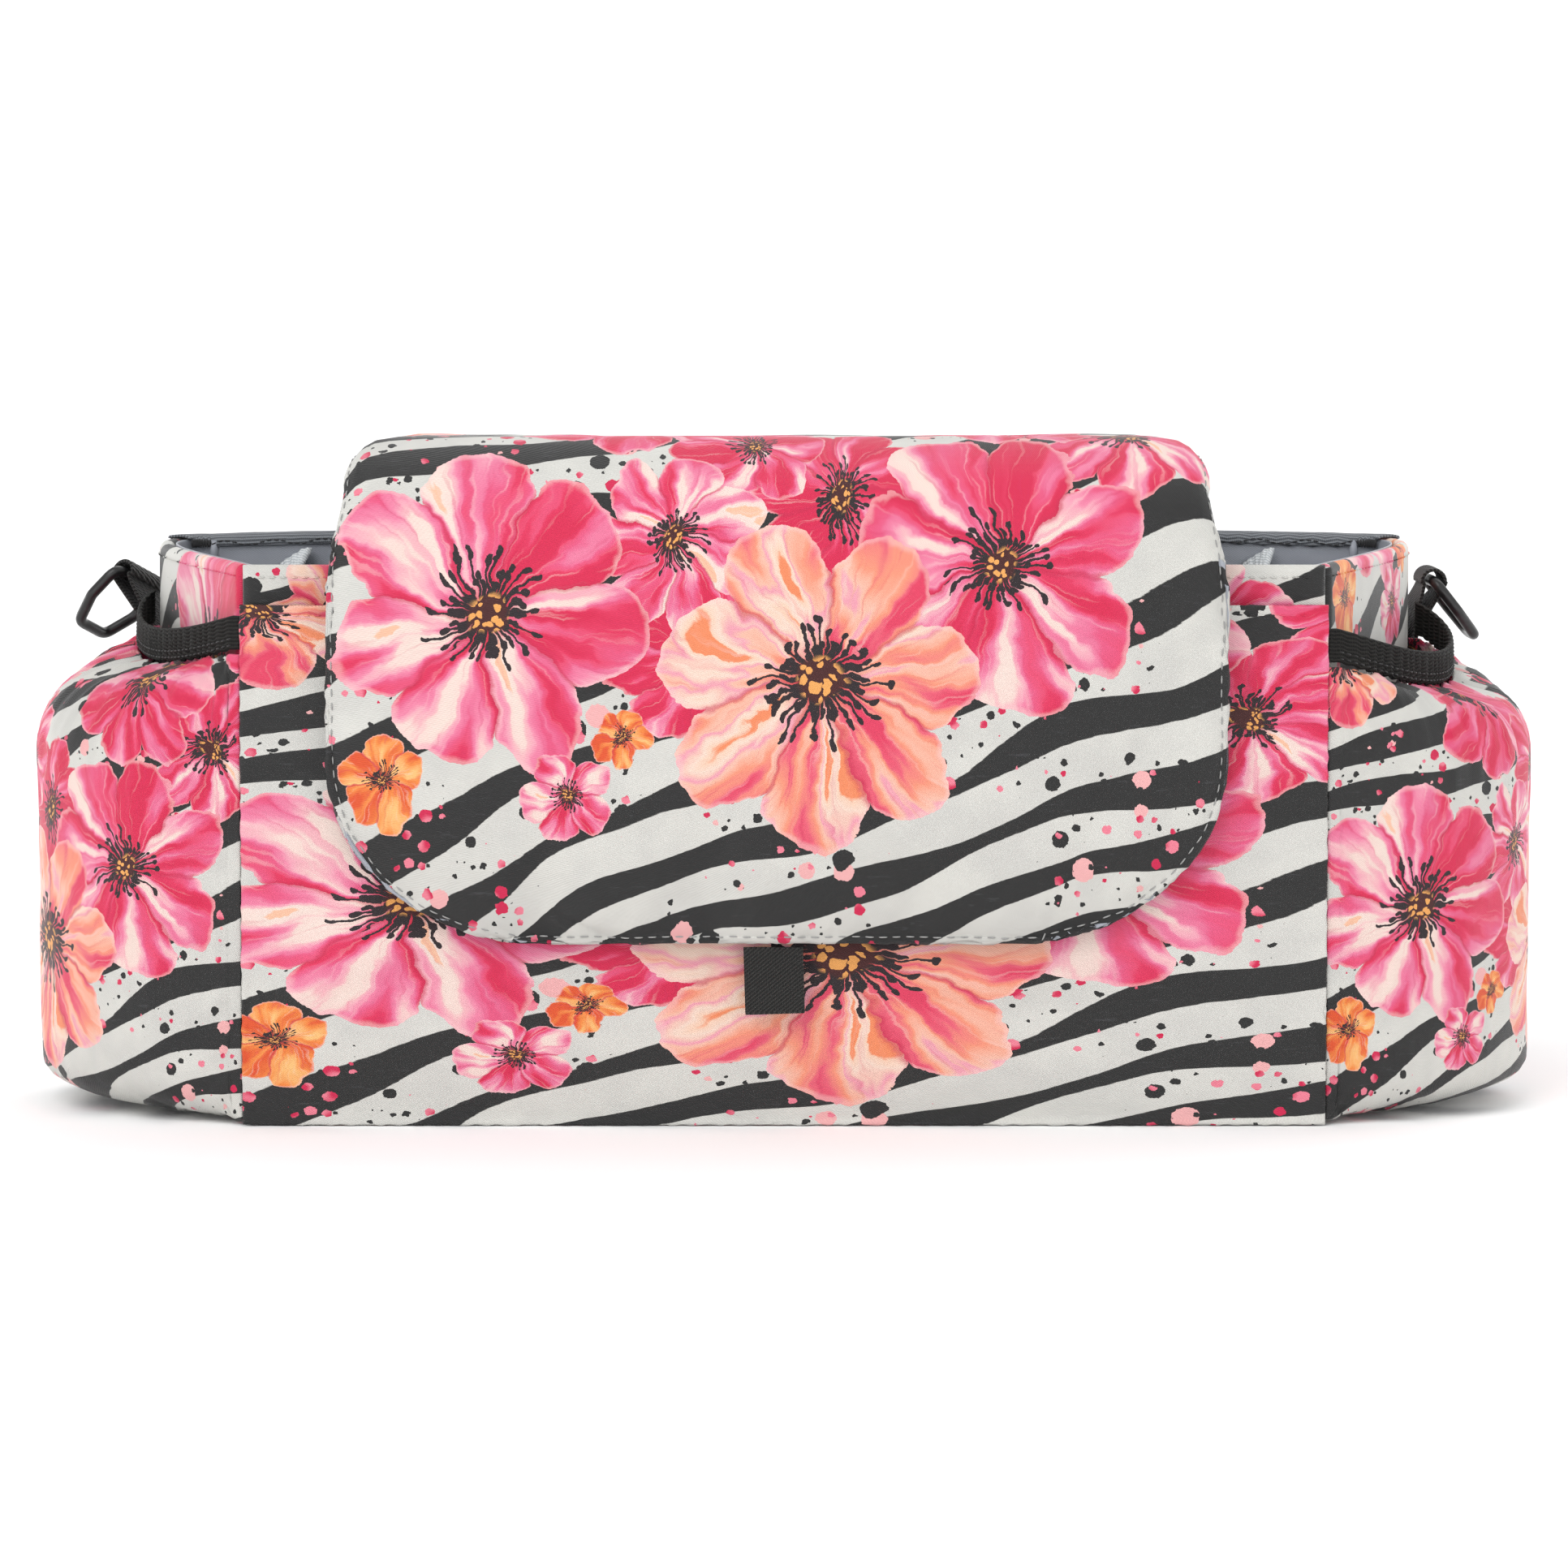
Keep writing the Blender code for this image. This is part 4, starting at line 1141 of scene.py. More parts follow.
def build_side_pocket(name, side):
    """A bulging end pocket, gathered into its elastic mouth."""
    columns = []
    u_list, t_list = pocket_places(74)
    places = edged(56, 0.016)
    for u, t in zip(u_list, t_list):
        base, out = end_curve(side, t)
        line = np.array(pocket_profile(name, u))
        steps = lengths(line)
        wanted = places * steps[-1]
        off = np.interp(wanted, steps, line[:, 0]) + GAP + CLOTH / 2.0
        rise = np.interp(wanted, steps, line[:, 1])
        columns.append(base[None, :] + out[None, :] * off[:, None] + UP * rise[:, None])
    middle = np.swapaxes(np.array(columns), 0, 1)
    middle = puff(middle, side, *PUFF["side"])
    front = np.array([side * (FRONT_HALF + 0.0006), FRONT_Y + 0.0006, 0.0])
    back, out = end_curve(side, POCKET_SPAN[1] + 0.022)
    back = back + out * 0.0006
    leads = []
    for corner, column in ((front, middle[:, 0]), (back, middle[:, -1])):
        foot = corner[None, :] + UP * column[:, 2][:, None]
        shares = np.array([0.0, 0.04, 0.10, 0.20, 0.34, 0.50, 0.68, 0.85])
        leads.append(foot[:, None] + (column - foot)[:, None] * np.sin(shares * math.pi / 2)[None, :, None])
    middle = np.concatenate([leads[0], middle, leads[1][:, ::-1]], axis=1)
    u_list = np.concatenate([np.full(8, u_list[0]), u_list, np.full(8, u_list[-1])])
    normals = grid_normals(middle, side)
    v, u = np.meshgrid(places, u_list, indexing="ij")
    rng = np.random.RandomState(40 + int(side))
    phase = rng.uniform(0, TAU, 4)
    gather = np.sin(u * TAU * 14 + phase[0] + 1.8 * np.sin(u * TAU * 3 + phase[1]))
    gather = gather * 0.6 + 0.4 * np.sin(u * TAU * 29 + phase[2])
    near_top = np.clip((v - 0.56) / 0.44, 0.0, 1.0) ** 1.5
    folds = 0.00125 * gather * near_top
    near_foot = np.clip((0.16 - v) / 0.16, 0.0, 1.0)
    folds = folds + 0.0006 * np.sin(u * TAU * 9 + phase[3]) * near_foot
    inside = np.sin(math.pi * u) * np.sin(math.pi * v)
    folds = folds + 0.0008 * ripple(u * 1.5, v * 1.5, 50 + int(side)) * inside
    fade = np.sin(math.pi * u) ** 0.4
    fade[:, :8] *= np.linspace(0.0, 1.0, 8)
    fade[:, -8:] *= np.linspace(1.0, 0.0, 8)
    middle = middle + normals * (folds * fade)[..., None]
    down, across = grid_arcs(middle)
    edge = np.minimum(np.minimum(down, down[-1:] - down), np.minimum(across, across[:, -1:] - across))
    thick = round_edge(edge, CLOTH_HALF, CLOTH_EDGE)
    if side < 0:
        design = (60 - (across * 1000 - 35) / 0.75, 158 + (middle[..., 2] * 1000 - 72) / 0.75)
    else:
        design = (-83 + (across * 1000 - 28) / 0.75, 146 + (middle[..., 2] * 1000 - 62) / 0.75)
    made = sheet_solid(f"{name}_pocket_cloth", middle, thick, PRINT, design, side)
    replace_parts(made, f"{name}_pocket")
    declare_sheet(middle)


def build_elastic(name, side):
    """The ribbed elastic band that gathers a pocket's mouth."""
    u, t = pocket_places(150)
    base, out = end_curve(side, t)
    height = mouth_foot(name, u) + ELASTIC_HEIGHT / 2.0
    centres = base + out * mouth_room(name, u)[:, None] + UP * height[:, None]
    corner = np.array([side * (FRONT_HALF + 0.0002), FRONT_Y + 0.0003, 0.0]) + UP * height[0]
    shares = np.linspace(0.0, 1.0, 8)[:-1, None]
    centres = np.vstack([corner + (centres[0] - corner) * shares, centres])
    out, u = np.vstack([np.tile(out[0], (7, 1)), out]), np.concatenate([np.full(7, u[0]), u])
    halves = np.tile(UP * ELASTIC_HEIGHT / 2.0, (len(u), 1))

    def gathers(across, length):
        lower = (1.0 - across)[None, :, None] / 2.0
        pulse = np.sin(length * TAU / 0.0042 + 1.2 * np.sin(length * TAU / 0.019))[:, None, None]
        fade = np.sin(math.pi * u)[:, None, None] ** 0.5
        return (out[:, None, :] * 0.00035 * pulse * (0.3 + lower) + UP * 0.0004 * pulse * lower**3) * fade

    thickness = ELASTIC_THICK - 0.0002
    made = band_solid(f"{name}_elastic_band", centres, halves, thickness, ELASTIC, 9, 37, gathers)
    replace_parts(made, f"{name}_pocket_elastic")
    rows = []
    for lift in (0.0012, 0.0030):
        line = centres - UP * (ELASTIC_HEIGHT / 2.0 - lift) + out * (thickness * 0.52)
        rows.append((line[6:-6], out[6:-6]))
    stitch_rows(f"{name}_elastic_stitches", rows, DARK_THREAD, ELASTIC_STITCH, "black_elastic")


# ---------------------------------------------------------------- dividers

DIVIDER_X = {"left": -0.143, "right": 0.139}
DIVIDER_END_Z = 0.1495
DIVIDER_SAG = 0.017
TAPE_HEIGHT = 0.0065
TAPE_THICK = 0.0030


def divider_top(y):
    """The height of a divider's sagging top edge."""
    low, high = FRONT_Y + LINING_IN, BACK_Y - LINING_IN
    across = (2 * y - low - high) / (high - low)
    return DIVIDER_END_Z - DIVIDER_SAG * (1.0 - across * across)


def build_divider(name):
    """A satin divider between the front and back linings, with a woven tape along its top."""
    x = DIVIDER_X[name]
    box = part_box(f"{name}_divider")
    y_cols = box[0].y + 0.0008 + (box[1].y - box[0].y - 0.0016) * edged(50, 0.01)
    share = edged(34, 0.01)
    foot = box[0].z + 0.0002
    y, v = np.meshgrid(y_cols, share)
    z = foot + (divider_top(y) - 0.0002 - foot) * v
    u = (y - y_cols[0]) / (y_cols[-1] - y_cols[0])
    inside = np.sin(math.pi * u) ** 0.5 * np.sin(math.pi * v) ** 0.5
    billow = 0.0011 * ripple(u * 1.6, v * 0.9, 70 + len(name)) * inside
    middle = np.dstack([x + billow, y, z])
    distance = border_distance(share * (box[1].z - foot), y_cols)
    thick = round_edge(distance, 0.00045, 0.0006)
    made = sheet_solid(f"{name}_divider_cloth", middle, thick, LINING)
    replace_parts(made, f"{name}_divider")
    declare_sheet(middle)
    line = box[0].y + 0.0004 + (box[1].y - box[0].y - 0.0008) * np.linspace(0.0, 1.0, 80)
    centres = np.stack([np.full(80, x), line, divider_top(line) + GAP + TAPE_HEIGHT / 2.0], axis=1)
    near_end = np.clip(1.0 - np.minimum(line - line[0], line[-1] - line) / 0.022, 0.0, 1.0) ** 1.3
    lean = math.pi / 2 - 1.15 * near_end
    reach = TAPE_HEIGHT / 2.0 + 0.0020 * near_end
    halves = np.stack([np.cos(lean) * reach, np.zeros(80), np.sin(lean) * reach], axis=1)
    band = band_solid(f"{name}_tape_band", centres, halves, TAPE_THICK, LIGHT_TAPE, 4, 17)
    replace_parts(band, f"{name}_divider_tape")
    rows = []
    for way in (-1.0, 1.0):
        stitched = centres + np.array([way * TAPE_THICK * 0.49, 0.0, -TAPE_HEIGHT * 0.22])
        rows.append((stitched[3:-3], (way, 0.0, 0.0)))
    stitch_rows(f"{name}_tape_stitches", rows, GREY_THREAD, SEAM_STITCH, "light_tape")


# ---------------------------------------------------------------- rings, loops and straps

RING_WIRE = 0.0016
RING_BAR = 0.0212
RING_REACH = 0.0200
RING_FAR = 0.0125
RING_SHOULDER = (0.98, 0.55)
RING_TURN = 0.0036
LOOP_WIDTH = 0.016
LOOP_THICK = 0.0011
LOOP_RADIUS = 0.0034
LOOP_DROPS = (0.0260, 0.0156)
LOOP_T = 0.81
RING_Z = 0.1445
RING_OUT = 0.0100
RING_LEAN = {"left": 50.0, "right": 52.0}
RING_YAW = {"left": 34.0, "right": 4.0}
RING_ROLL = {"left": 22.0, "right": 0.0}


def ring_frame(name):
    """A ring's bar centre, and its bar, outward, downward and reach directions."""
    side = SIDES[name]
    yaw, roll, lean = (math.radians(table[name]) for table in (RING_YAW, RING_ROLL, RING_LEAN))
    facing = np.array([math.cos(yaw), math.sin(yaw), 0.0])
    along = np.array([-math.sin(yaw), math.cos(yaw), 0.0])
    bar = along * math.cos(roll) - UP * math.sin(roll)
    down = -np.cross(facing, bar)
    reach = facing * math.cos(lean) + down * math.sin(lean)
    foot, out = end_curve(side, LOOP_T)
    flip = np.array([side, 1.0, 1.0])
    return (foot + UP * RING_Z + out * RING_OUT, *(way * flip for way in (bar, facing, down, reach)))


def build_ring(name):
    """A moulded ring with a straight bar, softly rounded corners and a narrower far side."""
    centre, bar, _, _, reach = ring_frame(name)
    near, far = bar * (RING_BAR / 2), bar * (RING_FAR / 2)
    shoulder, half_way = near * RING_SHOULDER[0], reach * (RING_REACH * RING_SHOULDER[1])
    corners = [-near, near, shoulder + half_way, far + reach * RING_REACH]
    corners += [-far + reach * RING_REACH, -shoulder + half_way]
    line = []
    for i, corner in enumerate(corners):
        before, after = unit(corners[i - 1] - corner), unit(corners[(i + 1) % 6] - corner)
        half = math.acos(np.clip(before @ after, -1, 1)) / 2
        pull = min(RING_TURN, 0.0042 * math.tan(half)) / math.tan(half)
        start, finish = corner + before * pull, corner + after * pull
        for k in np.linspace(0.0, 1.0, 7):
            line.append(start * (1 - k) ** 2 + corner * 2 * k * (1 - k) + finish * k * k)
    line = np.array(line + [line[0]])
    path = even_line(line, 97)[:-1] + centre
    ring, up = f"{name}_d_ring", np.cross(bar, reach)
    made = tube_solid(f"{name}_ring_moulding", path, RING_WIRE, PLASTIC, 16, up, True, ring)
    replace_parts(made, ring)


def build_ring_loop(name):
    """Webbing sewn to the end wall, folded round a ring's bar and back down on itself."""
    side = SIDES[name]
    centre, bar, facing, down, _ = ring_frame(name)
    foot, out = end_curve(side, LOOP_T)
    foot = foot + UP * RING_Z
    along = np.array([-out[1] * side, out[0] * side, 0.0])
    inner = GAP + LOOP_THICK / 2
    outer = inner + LOOP_THICK + GAP
    half = LOOP_WIDTH / 2
    centres = [foot + out * inner - UP * drop for drop in LOOP_DROPS]
    halves = [along * half] * 2
    for a in range(-30, 211, 24):
        turn = math.radians(a)
        centres.append(centre + (-facing * math.cos(turn) - down * math.sin(turn)) * LOOP_RADIUS)
        halves.append(bar * half)
    centres += [foot + out * outer - UP * drop for drop in reversed(LOOP_DROPS)]
    halves += [along * half] * 2
    line = smooth_line(np.hstack([centres, halves]), 90)
    sewn = unit(line[:, 3:]) * half
    made = band_solid(f"{name}_loop_webbing", line[:, :3], sewn, LOOP_THICK * 0.92, WEBBING, 6, 25)
    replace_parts(made, f"{name}_ring_loop")
    face = foot + out * (outer + LOOP_THICK * 0.45)
    corners = [(-0.8, 0.0250), (0.8, 0.0250), (0.8, 0.0175), (-0.8, 0.0175), (-0.8, 0.0250), (0.8, 0.0175)]
    line = cornered_line([face + along * half * a - UP * b for a, b in corners], 12)
    rows = [(line, out)]
    stitch_rows(f"{name}_loop_stitches", rows, DARK_THREAD, LOOP_STITCH, "black_webbing")


STRAP_X = {"left": -0.078, "right": 0.078}
STRAP_WIDTH = 0.025
STRAP_THICK = 0.0018
STRAP_TOP = 0.106
STRAP_SEWN = 0.002
ANCHOR_HEIGHT = 0.018
STRAP_LOOP_HEIGHT = 0.044
STRAP_DEPTH = 0.0215
STRAP_TAIL = 0.030
STRAP_PATCH = 0.0010


def pad(name, low, high, finish, node, body="bag", flip=-1.0):
    """A rectangular piece of tape between two corners, thin along Y, with rounded edges, for a CAD node."""
    x_cols = low[0] + (high[0] - low[0]) * edged(24, 0.06)
    z_rows = low[2] + (high[2] - low[2]) * edged(24, 0.06)
    x, z = np.meshgrid(x_cols, z_rows)
    middle = np.dstack([x, np.full(x.shape, (low[1] + high[1]) / 2), z])
    thick = round_edge(border_distance(z_rows, x_cols), (high[1] - low[1]) / 2 - 0.00003, 0.0008)
    thick = thick * (1.0 + 0.05 * ripple(x * 300, z * 300, 9, 3))
    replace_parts(sheet_solid(name, middle, thick, finish, flip=flip, body=body), node)


def build_strap(name):
    """A webbing strap on the back: sewn flat, looped for a handle and closed by hook and loop."""
    x, half, wall = STRAP_X[name], STRAP_WIDTH / 2, BACK_Y + GAP
    body = f"{name}_stroller_strap"
    rest = wall + STRAP_THICK / 2
    tail = rest + 2 * (STRAP_PATCH + GAP)
    low_z = STRAP_TOP - STRAP_LOOP_HEIGHT
    reach = STRAP_DEPTH - GAP - STRAP_THICK
    head_z = STRAP_TOP - STRAP_SEWN
    centres = [(x, rest, STRAP_TOP)]
    for i in range(17):
        turn = math.pi * i / 16
        room = rest + (tail - rest) * i / 16
        bow = (reach - (room - rest)) * math.sin(turn)
        centres.append((x, room + bow, (head_z + low_z) / 2 + (head_z - low_z) / 2 * math.cos(turn)))
    centres += [(x, tail, low_z - STRAP_TAIL / 2), (x, tail, low_z - STRAP_TAIL)]
    line = smooth_line(centres, 130)
    halves = np.tile([half, 0.0, 0.0], (130, 1))
    made = band_solid(f"{name}_strap_webbing", line, halves, STRAP_THICK * 0.9, WEBBING, 8, 33, body=body)
    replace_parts(made, f"{name}_stroller_strap")
    low = (x - half, wall, STRAP_TOP + STRAP_THICK / 2 + GAP)
    high = (x + half, wall + STRAP_THICK * 0.9, STRAP_TOP + ANCHOR_HEIGHT)
    pad(f"{name}_anchor_webbing", low, high, WEBBING, f"{name}_strap_anchor")
    face = high[1] + 0.00002
    a, b, c, d = low[0] + 0.0022, high[0] - 0.0022, low[2] + 0.0018, high[2] - 0.0018
    corners = [(a, face, c), (b, face, c), (b, face, d), (a, face, d), (a, face, c), (b, face, d)]
    box = cornered_line(corners, 14)
    other = even_line([(a, face, d), (b, face, c)], 14)
    rows = [(box, (0.0, 1.0, 0.0)), (other, (0.0, 1.0, 0.0))]
    stitch_rows(f"{name}_anchor_stitches", rows, GREY_THREAD, ANCHOR_STITCH, "black_webbing")
    for part, owner in (("loop", "bag"), ("hook", body)):
        node = f"{name}_strap_{part}_patch"
        pad(f"{name}_strap_{part}_tape", *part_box(node), HOOK_LOOP, node, owner)


# ---------------------------------------------------------------- flap

FLAP_CENTRE_X = -0.002
FLAP_HALF = 0.125
FLAP_BOTTOM = 0.0525
FLAP_TOP = 0.1868
FLAP_CORNER = (0.060, 0.052)
FLAP_FOLD = (0.022, 0.032)
FLAP_RISE_PULL = 0.022
FLAP_TOP_PULL = 0.060
FLAP_HINGE_Z = 0.146
FLAP_RISE_Z = 0.1605
FLAP_ROOM = 0.0101
FLAP_MIDDLE = 0.00265
FLAP_HALF_THICK = 0.00170
FLAP_DIP = 0.0016
FLAP_WAVE = 0.0007
# Distances from the flap's edge, and its thickness there as a share: the stitches lie in the groove
FLAP_EDGE = (
    (0.0, 0.0003, 0.0009, 0.0016, 0.0025, 0.0034, 0.0052, 0.0090, 0.0150),
    (0.0, 0.32, 0.46, 0.50, 0.34, 0.54, 0.76, 0.93, 1.0),
)
FLAP_SHOULDER = 0.0095
LINING_TUCK = 0.0008


def flap_line(inset):
    """The flap's section from the hinge over the top to the lower edge, inset out from its inner face."""
    back = BACK_Y + 0.0014
    front = FRONT_Y - FLAP_ROOM
    fold_y = front + FLAP_FOLD[0]
    start, end = np.array([back, FLAP_RISE_Z]), np.array([fold_y, FLAP_TOP])
    pull = (np.array([back, FLAP_RISE_Z + FLAP_RISE_PULL]), np.array([fold_y + FLAP_TOP_PULL, FLAP_TOP]))
    line = [(back, FLAP_HINGE_Z), (back, (FLAP_HINGE_Z + FLAP_RISE_Z) / 2)]
    for t in np.linspace(0.0, 1.0, 40):
        s = 1.0 - t
        towards = pull[0] * (3 * s * s * t) + pull[1] * (3 * s * t * t)
        line.append(tuple(start * s**3 + towards + end * t**3))
    for a in np.linspace(4, 90, 20):
        turn = math.radians(a)
        drop = FLAP_FOLD[1] * (1.0 - math.cos(turn))
        line.append((fold_y - FLAP_FOLD[0] * math.sin(turn), FLAP_TOP - drop))
    line.append((front, FLAP_BOTTOM))
    line = np.array(line)
    ahead = unit(np.gradient(line, axis=0))
    return line + np.stack([ahead[:, 1], -ahead[:, 0]], axis=1) * inset


def flap_outline(drop, top_drop):
    """Half the flap's width at a height above its lower edge, drop, and below the fold, top_drop."""
    corner = np.clip(1.0 - drop / FLAP_CORNER[1], 0.0, 1.0)
    half = FLAP_HALF - FLAP_CORNER[0] * (1.0 - np.sqrt(1.0 - corner**2))
    near_fold = np.exp(-((np.maximum(top_drop, 0.0) / 0.022) ** 2))
    past = np.clip(-top_drop / 0.045, 0.0, 1.0)
    return half - 0.0052 * near_fold - 0.0075 * past * past * (3.0 - 2.0 * past)


def flap_grid(inset):
    """A grid over the flap at an inset, with each row's half width and height above the lower edge."""
    line = flap_line(inset)
    steps = lengths(line)
    total = steps[-1]
    corner = FLAP_CORNER[1] * (1.0 - np.cos(np.linspace(0.0, math.pi / 2, 34)))
    straight = np.linspace(FLAP_CORNER[1], total - 0.006, 84)[1:]
    drops = np.concatenate([corner, straight, total - np.array([0.0040, 0.0022, 0.0011, 0.0004, 0.0])])
    drops[1:4] = (0.0004, 0.0011, 0.0022)
    drops = np.unique(np.maximum(drops, 0.0))
    along = total - drops
    y, z = np.interp(along, steps, line[:, 0]), np.interp(along, steps, line[:, 1])
    top_drop = drops - (FLAP_TOP - FLAP_BOTTOM)
    halves = flap_outline(drops, -top_drop)
    near = np.array([0.0, 0.0003, 0.0009, 0.0016, 0.0023, 0.0032, 0.0048, 0.0075]) / FLAP_HALF
    inner = np.linspace(0.0, 1.0 - 0.012 / FLAP_HALF, 50)
    u = np.concatenate([inner, 1.0 - near[::-1]])
    u = np.concatenate([-u[:0:-1], u])
    x = halves[:, None] * u[None, :]
    middle = np.dstack(np.broadcast_arrays(FLAP_CENTRE_X + x, y[:, None], z[:, None])).astype(float)
    return middle, drops, halves, u, total


def edge_distance(drops, halves, u):
    """How far each point of the flap's grid is from its outline, laid flat."""
    x = halves[:, None] * u[None, :]
    outline = np.concatenate([
        np.stack([halves, drops], axis=1),
        np.stack([-halves, drops], axis=1),
        np.stack([np.linspace(-halves[0], halves[0], 120), np.full(120, drops[0])], axis=1),
        np.stack([np.linspace(-halves[-1], halves[-1], 120), np.full(120, drops[-1])], axis=1),
    ])
    fine = []
    for a, b in ((0, len(drops)), (len(drops), 2 * len(drops))):
        fine.append(even_line(outline[a:b], 700))
    fine = np.vstack(fine + [outline[2 * len(drops) :]])
    spots = np.stack([x, np.broadcast_to(drops[:, None], x.shape)], axis=-1).reshape(-1, 2)
    best = np.full(len(spots), 1e9)
    for i in range(0, len(fine), 60):
        part = fine[i : i + 60]
        gap = np.linalg.norm(spots[:, None, :] - part[None, :, :], axis=2).min(axis=1)
        best = np.minimum(best, gap)
    return best.reshape(x.shape)


def soften_flap(middle, drops, u):
    """The turned-down sides of the flap along its top, and its slight unevenness."""
    share = np.abs(u)[None, :]
    height = drops[:, None]
    fold_at = FLAP_TOP - FLAP_BOTTOM
    side = np.abs(middle[..., 0] - FLAP_CENTRE_X)
    inside = side.max(axis=1, keepdims=True) - side
    turned = 1.0 - np.clip(inside / FLAP_SHOULDER, 0.0, 1.0)
    droop = FLAP_SHOULDER * (1.0 - np.sqrt(1.0 - 0.98 * turned**2))
    rising = np.clip((height - fold_at + 0.040) / 0.034, 0.0, 1.0)
    droop = droop * rising * rising * (3.0 - 2.0 * rising)
    over = middle[..., 1] > FRONT_Y - 0.004
    spare = np.clip(middle[..., 2] - RIM_Z - 0.0045, 0.0, None)
    droop = np.where(over, np.minimum(droop, spare), droop)
    droop = np.where(middle[..., 1] > BACK_Y - 0.004, 0.0, droop)
    middle[..., 2] -= droop
    top_part = np.clip((height - fold_at - 0.02) / 0.03, 0.0, 1.0)
    dips = 1.0 + ripple(u[None, :] * 0.8, height * 9, 31)
    middle[..., 2] -= FLAP_DIP * top_part * dips * (1.0 - share**4)
    front = np.clip((fold_at - height) / 0.03, 0.0, 1.0) * np.clip(height / 0.02, 0.0, 1.0)
    middle[..., 1] -= FLAP_WAVE * front * ripple(u[None, :] * 1.1, height * 8, 33)
    return middle


def build_flap():
    """The padded flap with its stitched edge, and its satin lining."""
    middle, drops, halves, u, total = flap_grid(FLAP_MIDDLE)
    distance = edge_distance(drops, halves, u)
    middle = soften_flap(middle, drops, u)
    middle = puff(middle, 1.0, *PUFF["flap"])
    thick = FLAP_HALF_THICK * np.interp(distance, *FLAP_EDGE)
    x = middle[..., 0]
    design = (x * 1000 + 0.0, np.broadcast_to(drops[:, None] * 1000 + FLAP_BOTTOM * 1000, x.shape))
    made = sheet_solid("flap_cloth", middle, thick, PRINT, design, body="flap")
    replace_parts(made, "flap_outer", "flap_foam")

    normals = grid_normals(middle)
    spots = []
    target = 0.0023
    for i in range(len(drops)):
        if drops[i] < 0.0026 or drops[i] > total - 0.004:
            continue
        j = int(np.argmin(np.abs(distance[i, : len(u) // 2] - target)))
        spots.append((i, j))
    left = spots[::-1]
    bottom_row = int(np.argmin(np.abs(drops - target)))
    lower = [(bottom_row, j) for j in range(len(u)) if abs(u[j]) < 0.94]
    right = [(i, len(u) - 1 - j) for i, j in spots]
    ring = left + lower + right
    line = np.array([middle[i, j] + normals[i, j] * (thick[i, j] + 0.00004) for i, j in ring])
    out = np.array([normals[i, j] for i, j in ring])
    packed = even_line(np.hstack([line, out]), 500)
    rows = [(packed[:, :3], packed[:, 3:6])]
    stitch_rows("flap_stitches", rows, CLEAR_THREAD, FLAP_STITCH, "print_cloth", "flap")

    inner = middle - normals * (thick + 0.00048)[..., None]
    inner[..., 0] -= LINING_TUCK * np.sign(u)[None, :] * np.abs(u)[None, :] ** 6
    inner[..., 2] += LINING_TUCK * np.clip(1.0 - drops / 0.02, 0.0, 1.0)[:, None]
    thick = round_edge(distance, 0.00030, 0.0005)
    made = sheet_solid("flap_lining_cloth", inner, thick, LINING, flip=-1.0, body="flap")
    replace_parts(made, "flap_lining")
    declare_sheet(inner)


def build_closure():
    """The hook and loop pads that hold the flap down, each stitched round its edge."""
    for node, owner, way in (("front_loop_patch", "bag", -1.0), ("flap_hook_patch", "flap", 1.0)):
        low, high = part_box(node)
        name = node.replace("patch", "tape")
        pad(name, low, high, HOOK_LOOP, node, owner, -way)
        y = (low.y if way < 0 else high.y) + way * 0.00002
        a, b, c, d = low.x + 0.002, high.x - 0.002, low.z + 0.002, high.z - 0.002
        line = cornered_line([(a, y, c), (b, y, c), (b, y, d), (a, y, d), (a, y, c)], 20)
        rows = [(line, (0.0, way, 0.0))]
        stitch_rows(f"{name}_stitches", rows, DARK_THREAD, PATCH_STITCH, "hook_and_loop", owner)


TAB_THICK = 0.00072
TAB_TURN = 0.0006
TAB_ASKEW = 0.0005


def build_pull_tab():
    """A loop of ribbed webbing pressed flat, hanging a little askew from the flap's edge."""
    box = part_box("pull_tab")
    x, y = (box[0].x + box[1].x) / 2, (box[0].y + box[1].y) / 2
    half = (box[1].x - box[0].x) / 2
    thick, turn = TAB_THICK, TAB_TURN
    foot, head = box[0].z + turn + thick / 2 + 0.0001, box[1].z - 0.0001
    centres = [(x, y - turn, head), (x, y - turn - 0.0002, (head + foot) / 2), (x, y - turn, foot)]
    for a in range(30, 180, 30):
        across, drop = turn * math.cos(math.radians(a)), turn * math.sin(math.radians(a))
        centres.append((x, y - across, foot - drop))
    centres += [(x, y + turn, foot), (x, y + turn + 0.0002, (head + foot) / 2), (x, y + turn, head)]
    line = smooth_line(centres, 90)
    share = (head - line[:, 2]) / (head - foot)
    line[:, 0] += TAB_ASKEW * share
    halves = np.stack([np.full(90, half - 0.0002), np.zeros(90), TAB_ASKEW / 2 * share], axis=1)
    made = band_solid("pull_tab_webbing", line, halves, thick, WEBBING, 0, 33, body="pull_tab")
    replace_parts(made, "pull_tab")


# ---------------------------------------------------------------- seams on the body


